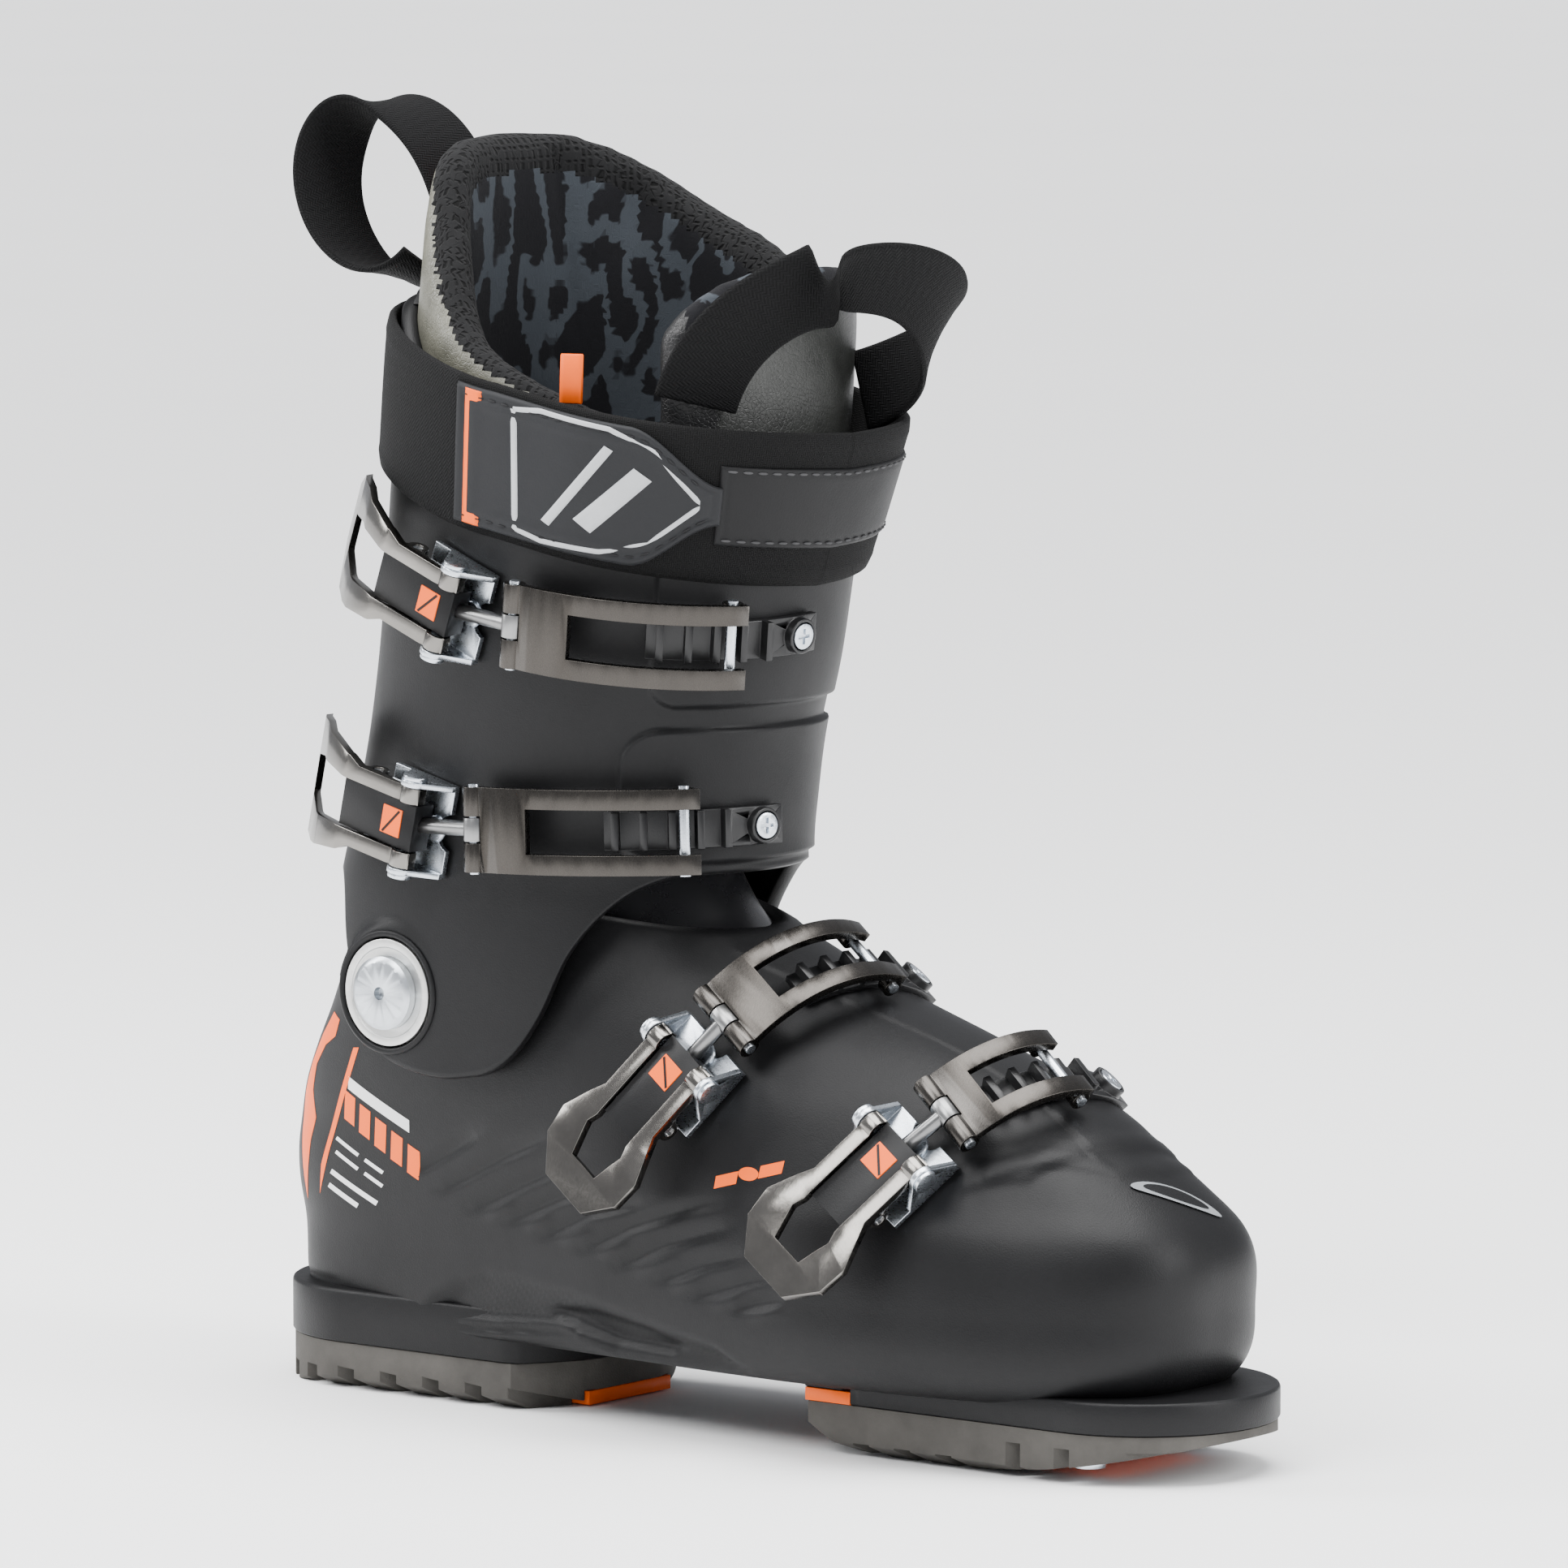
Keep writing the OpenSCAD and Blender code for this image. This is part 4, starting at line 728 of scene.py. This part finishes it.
cuff_object()
for side, where in ((-1, "outer"), (1, "inner")):  # raised lip round each cant disc
    lip = [(15.4 + 0.9 * math.cos(a), 0.75 * math.sin(a)) for a in turn(16)]
    ring = [[(PIVOT[0] + r * math.cos(b), side * (SEAT_Y + h), PIVOT[1] + r * math.sin(b)) for r, h in lip]
            for b in turn(96)]
    fix_normals(make(f"disc_lip_{where}", np.array(ring).reshape(-1, 3), grid_faces(96, 16, True, True),
                     M["cuff"], "cuff"))

# ---- soft seal over the instep
P, Z = np.meshgrid(np.linspace(-54, 54, 121), np.linspace(113, 147, 40))
fold = 0.25 * np.sin(P / 5.2) * ease((Z - 114) / 6)
sheet_solid("gaiter", under(Z, P, SHELL_WALL + 0.1 + fold * 0.5), under(Z, P, SHELL_WALL + 1.5 + fold * 0.3),
            M["gaiter"], "shell", node="instep_gaiter")


# ---- padded liner
def pad(name, phis, z_low, z_top, d_out, d_in, node, zone, mats):
    """A padded piece of the cuff's liner: a rounded slab that cloth simulation plumps.

    zone(where, depth below the rim, phi) gives the number of its material."""
    rows, bends = 60, np.linspace(0, math.pi, 9)[1:-1]
    r = (d_in - d_out) / 2
    top, low = z_top(phis), z_low(phis)
    levels = [low + (top - low - 2 * r) * s + r for s in np.linspace(0, 1, rows)]
    rows_out = [skin(CUFF, z, phis, -d_out) for z in levels]
    rows_in = [skin(CUFF, z, phis, -d_in) for z in levels]
    depths = [d_out + r - r * math.cos(a) for a in bends]
    cap_top = [skin(CUFF, top - r + r * math.sin(a), phis, -d) for a, d in zip(bends, depths)]
    cap_low = [skin(CUFF, low + r - r * math.sin(a), phis, -d) for a, d in zip(bends, depths)]
    p = np.array(rows_out + cap_top + rows_in[::-1] + cap_low[::-1])
    n, c = p.shape[:2]
    where = ["out"] * rows + ["top"] * len(bends) + ["in"] * rows + ["low"] * len(bends)
    label = np.array([zone(where[i], top[j] - DROP - p[i, j, 2], phis[j]) for i in range(n) for j in range(c)])
    verts, uv = p.reshape(-1, 3), grid_uv(p)
    o = make(name, verts, grid_faces(n, c, closed_rows=True) + end_caps(n, c, gap=len(bends)), mats, None)
    fix_normals(o)
    plump(o, 4.0, 1.2)
    tree = KDTree(len(verts))
    for i, q in enumerate(verts):
        tree.insert(q, i)
    tree.balance()
    near = np.array([tree.find(v.co * 1000)[1] for v in o.data.vertices])
    set_uv(o.data, uv[near])
    middle = [tree.find(f.center * 1000)[1] for f in o.data.polygons]
    o.data.polygons.foreach_set("material_index", label[middle].astype(np.int32))
    o.data.polygons.foreach_set("use_smooth", np.ones(len(o.data.polygons), bool))
    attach(o, "cuff")
    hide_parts(node)


def plump(o, pressure, cap):
    """Swells a padded piece with the cloth solver, no vertex moving more than cap mm."""
    bpy.ops.object.select_all(action="DESELECT")
    o.select_set(True)
    bpy.context.view_layer.objects.active = o
    modifier(o, "REMESH", apply=True, mode="VOXEL", voxel_size=0.003)
    rest = np.array([v.co for v in o.data.vertices])
    cloth = modifier(o, "CLOTH")
    for key, value in (("quality", 4), ("mass", 0.3), ("tension_stiffness", 12), ("compression_stiffness", 12),
                       ("shear_stiffness", 4), ("bending_stiffness", 0.6), ("use_pressure", True),
                       ("uniform_pressure_force", pressure), ("shrink_min", -0.015)):
        setattr(cloth.settings, key, value)
    cloth.settings.effector_weights.gravity = 0
    cloth.point_cache.frame_start, cloth.point_cache.frame_end = 1, 20
    scene = bpy.context.scene
    for f in range(1, 21):
        scene.frame_set(f)
    swollen = o.evaluated_get(bpy.context.evaluated_depsgraph_get()).data
    move = np.array([v.co for v in swollen.vertices]) - rest
    scene.frame_set(1)
    o.modifiers.remove(cloth)
    move *= np.minimum(1, cap / 1000 / np.maximum(np.linalg.norm(move, axis=1, keepdims=True), TINY))
    o.data.vertices.foreach_set("co", (rest + move).ravel())
    o.data.update()
    modifier(o, "SMOOTH", apply=True, iterations=3)
    modifier(o, "SUBSURF", apply=True, levels=1, render_levels=1)


def collar_zone(where, below, phi):
    if where in ("out", "low"):
        if below < 3.5:
            return 0
        if 188 < phi < 194:
            return 2
        return 1 if phi > 196 or phi < 164 else 3
    if where == "top" or below < 9:
        return 0
    return 4


pad("liner_collar", even_angles(CUFF, 280, 150, 53.0, 307.0), collar_low, collar_top, COLLAR_DEPTH, 15.0,
    "liner_cuff", collar_zone, [M["knit"], M["olive"], M["orange"], M["leather"], M["camo"]])


def tongue_top(phi):
    return 302 - 16 * (np.abs(phi) / 48) ** 3


def tongue_zone(where, below, phi):
    if where == "top" or below < 7:
        return 1 if abs(phi) < 40 else 0
    if where == "in":
        return 3
    return 2 if abs(phi) < 30 and 14 < below < 48 else 0


pad("liner_tongue_pad", np.linspace(-48, 48, 70), lambda p: np.full(np.shape(p), 149.0), tongue_top,
    COLLAR_DEPTH, 14.0, "liner_tongue", tongue_zone,
    [M["leather"], M["camo"], M["panel"], M["lining"]])

# the liner's foot and the footbed
n = 260
phi = even_angles(SHELL, 60, n)


def foot_piece(name, rows, mat, node):
    p = np.array(rows)
    o = make(name, p.reshape(-1, 3), grid_faces(len(p), n, closed_cols=True), M[mat], "shell", node=node,
             uv=grid_uv(p))


foot_rim = curve([[0, 138], [35, 138], [60, 132], [100, 124], [125, 110], [180, 110]], from_back(phi))
outer = np.array([under(27 + (foot_rim - 27) * s, phi, 5.5) for s in np.linspace(0, 1, 40)])
inner = np.array([under(36 + (foot_rim - 36) * s, phi, 11.5) for s in np.linspace(0, 1, 40)])
rows = [outer[0] * np.array([1, s, 1]) for s in (0.02, 0.5, 0.9)] + list(outer)
rows += [outer[-1] * (1 - s) + inner[-1] * s + np.array([0, 0, 2.2 * math.sin(math.pi * s)])
         for s in (0.1, 0.3, 0.5, 0.7, 0.9)]
rows += list(inner[::-1]) + [inner[0] * np.array([1, s, 1]) for s in (0.9, 0.5, 0.02)]
foot_piece("liner_foot_pad", rows, "lining", "liner_foot")
ring = under(38, phi, 13)
BED = ((0.02, 26.1), (0.95, 26.1), (1.0, 26.7), (1.0, 28.1), (0.96, 28.8), (0.5, 28.9), (0.02, 28.9))
foot_piece("footbed_pad", [np.c_[ring[:, 0], ring[:, 1] * s, np.full(n, z)] for s, z in BED], "bed", "footbed")

# ---- power strap
phi = even_angles(CUFF, 260, 420)
S = np.linspace(0, 1, 26)[:, None]
ripple = 0.35 * np.sin(np.radians(phi) * 5) * np.sin(np.pi * S)
from_edge = np.minimum(S, 1 - S) * STRAP_WIDTH
selvedge = 0.18 * bell(from_edge - 3.4, 0.8) - 0.35 * bell(from_edge, 1.2)
outer = np.array([strap_point(phi, s, STRAP_THICK + h) for s, h in zip(S[:, 0], ripple + selvedge)])
inner = np.array([strap_point(phi, s, 0.0) for s in S[:, 0]])
strap = sheet_solid("strap_band", outer, inner, [M["web"], M["chevron"]], "cuff", closed=True,
                    node="power_strap")
centres = np.array([f.center for f in strap.data.polygons]) * 1000
chevrons = (centres[:, 0] < -56) & (centres[:, 1] < 30)
strap.data.polygons.foreach_set("material_index", chevrons.astype(np.int32))


def band_piece(name, phis, edges, thick, mat, relief, rows, node=None):
    """A raised piece lying on the strap between two edges given by angle."""
    lo, hi = edges(phis)
    S = np.linspace(0, 1, rows)[:, None]
    s = lo + (hi - lo) * S
    near = np.minimum(np.minimum(S, 1 - S) * (hi - lo) * STRAP_WIDTH,
                      np.minimum(phis - phis[0], phis[-1] - phis) * MM_PER_DEGREE)
    h = thick * ease(near / 1.1 + 0.35) + relief(near)
    outer = np.array([strap_point(phis, s[i], STRAP_THICK + h[i]) for i in range(rows)])
    inner = np.array([strap_point(phis, s[i], STRAP_THICK - 0.15) for i in range(rows)])
    sheet_solid(name, outer, inner, M[mat], "cuff", node=node, round_edge=False)


def patch_edges(p):
    narrow = 0.03 + 0.34 * ease(((p - 263) / 6.4 - 6.5) / 3.5)
    return narrow, 1 - narrow


band_piece("strap_grip", np.linspace(263, 327, 150), patch_edges, PATCH_THICK, "patch",
           lambda near: 0.25 * bell(near - 4.2, 1.2) - 0.35 * bell(near - 2.2, 0.5), 60, node="strap_patch")
band_piece("strap_strip", np.linspace(326, 398, 160),
           lambda p: (np.full(p.shape, 0.24), np.full(p.shape, 0.78)), 0.8, "strip",
           lambda near: -0.3 * bell(near - 1.6, 0.5), 30)


def strap_line(name, pts, width, out, mat, steps=60):
    """A thin raised line along (phi, s) points on the strap."""
    pts = np.array(pts, float)
    scale = np.array([MM_PER_DEGREE, STRAP_WIDTH])
    d = np.r_[0, np.cumsum(np.linalg.norm(np.diff(pts, axis=0) * scale, axis=1))]
    t = np.linspace(0, d[-1], steps)
    ph, s = np.interp(t, d, pts[:, 0]), np.interp(t, d, pts[:, 1])
    tu, tv = np.gradient(ph * MM_PER_DEGREE), np.gradient(s * STRAP_WIDTH)
    ln = np.hypot(tu, tv)
    nu, nv = -tv / ln / MM_PER_DEGREE, tu / ln / STRAP_WIDTH

    def row(w, h):
        return strap_point(ph + nu * w * width, s + nv * w * width, out + h)
    across = np.linspace(-0.5, 0.5, 5)
    top = np.array([row(w, 0.25 if abs(w) < 0.4 else 0.075) for w in across])
    low = np.array([row(w, -0.2) for w in across])
    sheet_solid(name, top, low, M[mat], "cuff", round_edge=False)


strap_line("strap_stripe", [(267.6, 0.045), (267.6, 0.955)], 3.0, 3.6, "orange_ink")
SHIELD = [(276.5, 0.9), (283, 0.94), (300, 0.93), (310, 0.83), (322, 0.5), (310, 0.2), (298, 0.09), (284, 0.07),
          (277.5, 0.1), (276.5, 0.9)]
strap_line("strap_outline", SHIELD, 1.3, 3.65, "patch_ink", steps=220)
strap_line("strap_bar", [(285, 0.2), (300, 0.8)], 2.0, 3.65, "patch_ink")
strap_line("strap_bar_b", [(294, 0.24), (308, 0.66)], 4.5, 3.65, "patch_ink")


def outward(p):
    return unit(np.array([(p[0] + 48) / 3.4, p[1], 0.0]))


def unit(v):
    return v / np.linalg.norm(v)


def stitches(name, pts, mat, length=2.6, gap=1.5, r=0.34):
    """A seam: a row of small thread stitches along a path of points in mm."""
    d = np.r_[0, np.cumsum(np.linalg.norm(np.diff(pts, axis=0), axis=1))]
    verts, faces = [], []
    for start in np.arange(0.5, d[-1] - length, length + gap):
        p0, p1 = (np.array([np.interp(a, d, pts[:, i]) for i in range(3)]) for a in (start, start + length))
        ax = unit(p1 - p0)
        side = unit(np.cross(ax, outward((p0 + p1) / 2)))
        up = np.cross(side, ax)
        base = len(verts)
        for t, k in ((0, 0.25), (0.2, 0.9), (0.5, 1.0), (0.8, 0.9), (1, 0.25)):
            c = p0 + (p1 - p0) * t + up * r * (0.5 * math.sin(math.pi * t) - 0.1)
            verts += [c + (side * math.cos(a) + up * math.sin(a) * 0.8) * r * k for a in turn(6)]
        faces += [[base + i for i in f] for f in grid_faces(5, 6, closed_cols=True)]
        faces += [[base + j for j in range(6)][::-1], [base + 24 + j for j in range(6)]]
    fix_normals(make(name, np.array(verts), faces, M[mat], "cuff"))


ph = np.linspace(327, 397, 80)
for tag, s in (("a", 0.745), ("b", 0.275)):
    stitches(f"strip_seam_{tag}", strap_point(ph, np.full(80, s), 3.05), "thread_light")
ph = np.linspace(265, 324, 90)
low_edge, top_edge = patch_edges(ph)
stitches("grip_seam_top", strap_point(ph, top_edge - 0.06, 3.45), "thread")
stitches("grip_seam_low", strap_point(ph, low_edge + 0.06, 3.45), "thread")


# ---- pull loops
def bezier(ctrl, t):
    p = [np.array(c, float) for c in ctrl]
    while len(p) > 1:
        p = [a * (1 - t) + b * t for a, b in zip(p[:-1], p[1:])]
    return p[0]


def ribbon(name, ctrl, across_a, across_b, node, width=20.0, thick=1.8):
    """Woven webbing along a curve, its selvedges slightly thicker, with a faint ladder of ribs."""
    ts, us = np.linspace(0, 1, 150), np.linspace(-0.5, 0.5, 15)
    path = np.array([bezier(ctrl, t) for t in ts])
    along = np.gradient(path, axis=0)
    outer, inner = [], []
    for i, t in enumerate(ts):
        a = unit(along[i])
        w = np.array(across_a) * (1 - ease(t)) + np.array(across_b) * ease(t)
        w = unit(w - a * (w @ a))
        n = unit(np.cross(a, w))
        rib = 0.05 * math.sin(i * 1.9)
        half = [thick / 2 if abs(u) > 0.4 else thick / 2 * 0.86 + rib for u in us]
        outer.append([path[i] + w * u * width + n * h for u, h in zip(us, half)])
        inner.append([path[i] + w * u * width - n * h for u, h in zip(us, half)])
    outer, inner = np.array(outer).transpose(1, 0, 2), np.array(inner).transpose(1, 0, 2)
    sheet_solid(name, outer, inner, M["loop"], "cuff", node=node)


a, b = skin(CUFF, 318, 184, 2.6 - COLLAR_DEPTH), skin(CUFF, 299, 196, 4.2 - COLLAR_DEPTH)
ribbon("pull_loop_rear", [a, a + [-14, 0, 34], a + [-48, -6, 36], b + [-46, -10, 14], b + [-16, -6, -12], b],
       (0.25, 1, 0.1), (0.3, 1, -0.25), "loop_rear")
a, b = skin(CUFF, 268, 322, 2.6 - COLLAR_DEPTH), skin(CUFF, 268, 30, 3.2 - COLLAR_DEPTH)
ribbon("pull_loop_front", [a, a + [10, 0, 28], a + [42, 6, 44], b + [56, -2, 38], b + [26, 6, 8], b],
       (0.5, 0.6, -0.2), (0.3, 0.2, 1), "loop_front")


# ---- printed marks, generic shapes only
def mark(name, polys, mat):
    """Thin printed shapes on the shell's outer side, from polygons in (x, z) mm, cut to follow the surface."""
    verts, faces = [], []
    for poly in polys:
        b = bmesh.new()
        b.faces.new([b.verts.new((x, z, 0)) for x, z in poly])
        bmesh.ops.triangulate(b, faces=b.faces)
        for _ in range(6):
            long = [e for e in b.edges if e.calc_length() > 2.0]
            if not long:
                break
            bmesh.ops.subdivide_edges(b, edges=long, cuts=1)
            bmesh.ops.triangulate(b, faces=b.faces)
        b.verts.index_update()
        base = len(verts)
        xs, zs = np.array([v.co.x for v in b.verts]), np.array([v.co.y for v in b.verts])
        verts += list(on_side(SHELL, xs, zs, 0.06 + shell_relief(on_side(SHELL, xs, zs))))
        faces += [[base + v.index for v in f.verts] for f in b.faces]
        b.free()
    make(name, np.array(verts), faces, M[mat], "shell")


def bar(x, z, length, width, angle, skew=0.35):
    a = math.radians(angle)
    u, v = np.array([math.cos(a), math.sin(a)]), np.array([-math.sin(a), math.cos(a)])
    c = np.array([x, z])
    s = skew * width
    corners = (c, c + u * length, c + u * (length + s) + v * width, c + u * s + v * width)
    return [tuple(p) for p in corners]


SWEEP = [(-121.5, 97), (-126, 98.5), (-132, 92), (-137.2, 84), (-139.8, 76), (-140.2, 66), (-139, 56),
         (-137, 47.5), (-135.6, 56), (-134, 64), (-131.5, 70), (-133.8, 77), (-133, 84), (-128.5, 89.5),
         (-123, 92.5)]
SLASH = [(-113.3, 90.7), (-110.8, 91), (-124.5, 62), (-129.5, 50), (-128.4, 58)]
LINES = [(-121.5, 65.5, 10, 1.1, -21), (-121.8, 61.8, 10, 1.1, -21), (-109.5, 61, 7.5, 1.1, -21),
         (-109.8, 57.4, 7.5, 1.1, -21), (-124.2, 56.2, 20, 1.5, -19), (-125.4, 52.4, 13, 1.5, -19)]
mark("mark_sweep", [SWEEP], "orange_ink")
mark("mark_slash", [SLASH], "orange_ink")
BLOCKS = [(-117.5 + i * 6.2, 71.5 - i * 2.9, 4.6, 7.4, -22, -0.28) for i in range(5)]
mark("mark_blocks", [bar(*block) for block in BLOCKS], "orange_ink")
mark("mark_title", [bar(-115.5, 79.6, 26, 3.2, -20.5, -0.3)], "white_ink")
mark("mark_lines", [bar(*line) for line in LINES], "white_ink")
mark("mark_side", [bar(16.8, 66.6, 7.2, 3.0, 15), bar(30.4, 70.3, 7.2, 3.0, 15)], "orange_ink")
mark("mark_pill", [[(27.2 + 3.2 * math.cos(a), 71.2 + 1.7 * math.sin(a)) for a in turn(24)]], "orange_ink")


def toe_drape(x, y, out):
    """Points on the toe at plan (x, y): the height is found on the shell's table."""
    res = []
    for xx, yy in zip(x, y):
        lo, hi = 50.0, 132.0
        for _ in range(40):
            mid = (lo + hi) / 2
            r = rows_at(SHELL, np.array(mid))
            xr, xf = r[1], r[2]
            u = (xx - (xr + xf) / 2) / ((xf - xr) / 2)
            wide = r[3] + (r[4] - r[3]) * ease(((xx - xr) / (xf - xr) - 0.15) / 0.6)
            n = r[6] if u > 0 else r[5]
            if abs(u) ** n + abs(yy / wide) ** n < 1:
                lo = mid
            else:
                hi = mid
        res.append((xx, yy, lo - DROP + out))
    return np.array(res)


def toe_badge(name, scale, out, mat):
    """A plain rounded panel on the toe's top."""
    angles = turn(40)
    rows = []
    for k in np.linspace(0.02, 1, 9) * scale:
        u = 10.5 * k * np.cos(angles) * (1 + 0.12 * np.cos(2 * angles))
        v = 7.0 * k * np.sin(angles)
        rows.append(toe_drape(129.5 + 0.55 * u - 0.2 * v, 0.9 * u + 0.35 * v - 2.0, out))
    make(name, np.array(rows).reshape(-1, 3), grid_faces(9, 40, closed_cols=True), M[mat], "shell")


toe_badge("toe_badge", 1.0, 0.55, "grey_ink")
toe_badge("toe_badge_core", 0.72, 0.7, "shell")

# a tab on the liner's collar
P, Z = np.meshgrid(np.linspace(284, 290, 6), (268, 272, 276, 280))
tab = skin(CUFF, Z, P, -4.4)
sheet_solid("collar_tab", tab, tab + np.array([0, 0.8, 0]), M["orange"], "cuff")

# ---- buckle details
joints = {j["name"]: j for j in frame["joints"]}


def buckle_axes(k):
    """A buckle's own frame, from its lever's and link's pivots: origin on the skin, x to the rack, z out."""
    lever, link = joints[f"lever_{k}_swing"], joints[f"link_{k}_swing"]
    fy = unit(np.array(lever["axis"]))
    pivot = np.array(lever["pos_m"]) * 1000
    arm = np.array(link["pos_m"]) * 1000 - pivot  # 15 mm back and 2 mm down in that frame
    across = np.cross(fy, arm)
    fx, fz = unit(-15 * arm - 2 * across), unit(-2 * arm + 15 * across)
    return pivot - 8 * fz, fx, fy, fz


def prism(name, k, outline, z_low, z_top, mat):
    """A four-cornered plate on a buckle's barrel."""
    o, fx, fy, fz = buckle_axes(k)
    verts = [o + x * fx + y * fy + z * fz for z in (z_low, z_top) for x, y in outline]
    sides = [[i, (i + 1) % 4, (i + 1) % 4 + 4, i + 4] for i in range(4)]
    return make(name, verts, [[3, 2, 1, 0], [4, 5, 6, 7]] + sides, M[mat], f"link_{k}", smooth=False)


BARREL_TOP = 9.2
SQUARE = [(-8.2, -3.7), (-1.4, -3.7), (-1.4, 3.7), (-8.2, 3.7)]
BARREL_SLASH = [(-7.6, -3.2), (-7.0, -3.5), (-2.0, 3.2), (-2.6, 3.5)]
for k in (1, 2, 3, 4):  # a square mark with a dark slash
    o = prism(f"barrel_mark_{k}", k, SQUARE, BARREL_TOP - 0.3, BARREL_TOP + 0.28, "orange_ink")
    modifier(o, "BEVEL", width=0.00015, segments=2)
    prism(f"barrel_slash_{k}", k, BARREL_SLASH, BARREL_TOP + 0.3, BARREL_TOP + 0.36, "dark")

# ---- stage, light and camera
stage = Nodes("stage_pale")
tones = [(0.3, (0.93, 0.93, 0.93)), (0.7, (0.95, 0.95, 0.95))]
stage.out(Base_Color=stage.ramp(stage.noise(stage.coords(), 1.5), tones), Roughness=0.75)
steps = 16000 * np.linspace(-1, 1, 25) ** 3
rows = [(x, y, 0.0) for x in steps for y in steps]
make("stage_floor", rows, grid_faces(25, 25, flip=True), stage.mat, None)

world = bpy.data.worlds.new("studio")
bpy.context.scene.world = world
world.use_nodes = True
world.node_tree.nodes["Background"].inputs[0].default_value = (0.93, 0.95, 1, 1)
world.node_tree.nodes["Background"].inputs[1].default_value = 0.6

AIM = Vector((0.0035, 0, 0.165))


def aimed(name, data, az, el, dist):
    """Puts a light or camera dist m from AIM, looking at it. az turns from the outer side to the toe."""
    o = bpy.data.objects.new(name, data)
    bpy.context.scene.collection.objects.link(o)
    a, e = math.radians(az), math.radians(el)
    back = Vector((math.sin(a) * math.cos(e), -math.cos(a) * math.cos(e), math.sin(e)))
    o.location = AIM + back * dist
    o.rotation_mode = "QUATERNION"
    o.rotation_quaternion = (-back).to_track_quat("-Z", "Y")
    return o


def area(name, az, el, dist, width, height, power):
    light = bpy.data.lights.new(name, "AREA")
    light.shape = "RECTANGLE"
    light.size, light.size_y = width, height
    light.energy = power
    aimed(name, light, az, el, dist)


area("key", -8, 45, 1.6, 0.8, 0.8, 22)
area("front", 100, 25, 1.5, 0.4, 1.12, 22)
area("rear_strip", -62, 30, 1.3, 0.315, 0.9, 14)
area("top", 38, 85, 1.7, 1.2, 1.2, 16)
sun = bpy.data.lights.new("overhead", "SUN")  # soft light straight down keeps the floor pale
sun.energy, sun.angle = 4.9, math.radians(50)
aimed("overhead", sun, 0, 90, 3)

camera = bpy.data.cameras.new("camera")
camera.lens, camera.sensor_width = 232.5, 36
camera.clip_start, camera.clip_end = 0.05, 20
bpy.context.scene.camera = aimed("camera", camera, 38, 6.1, 2.6)
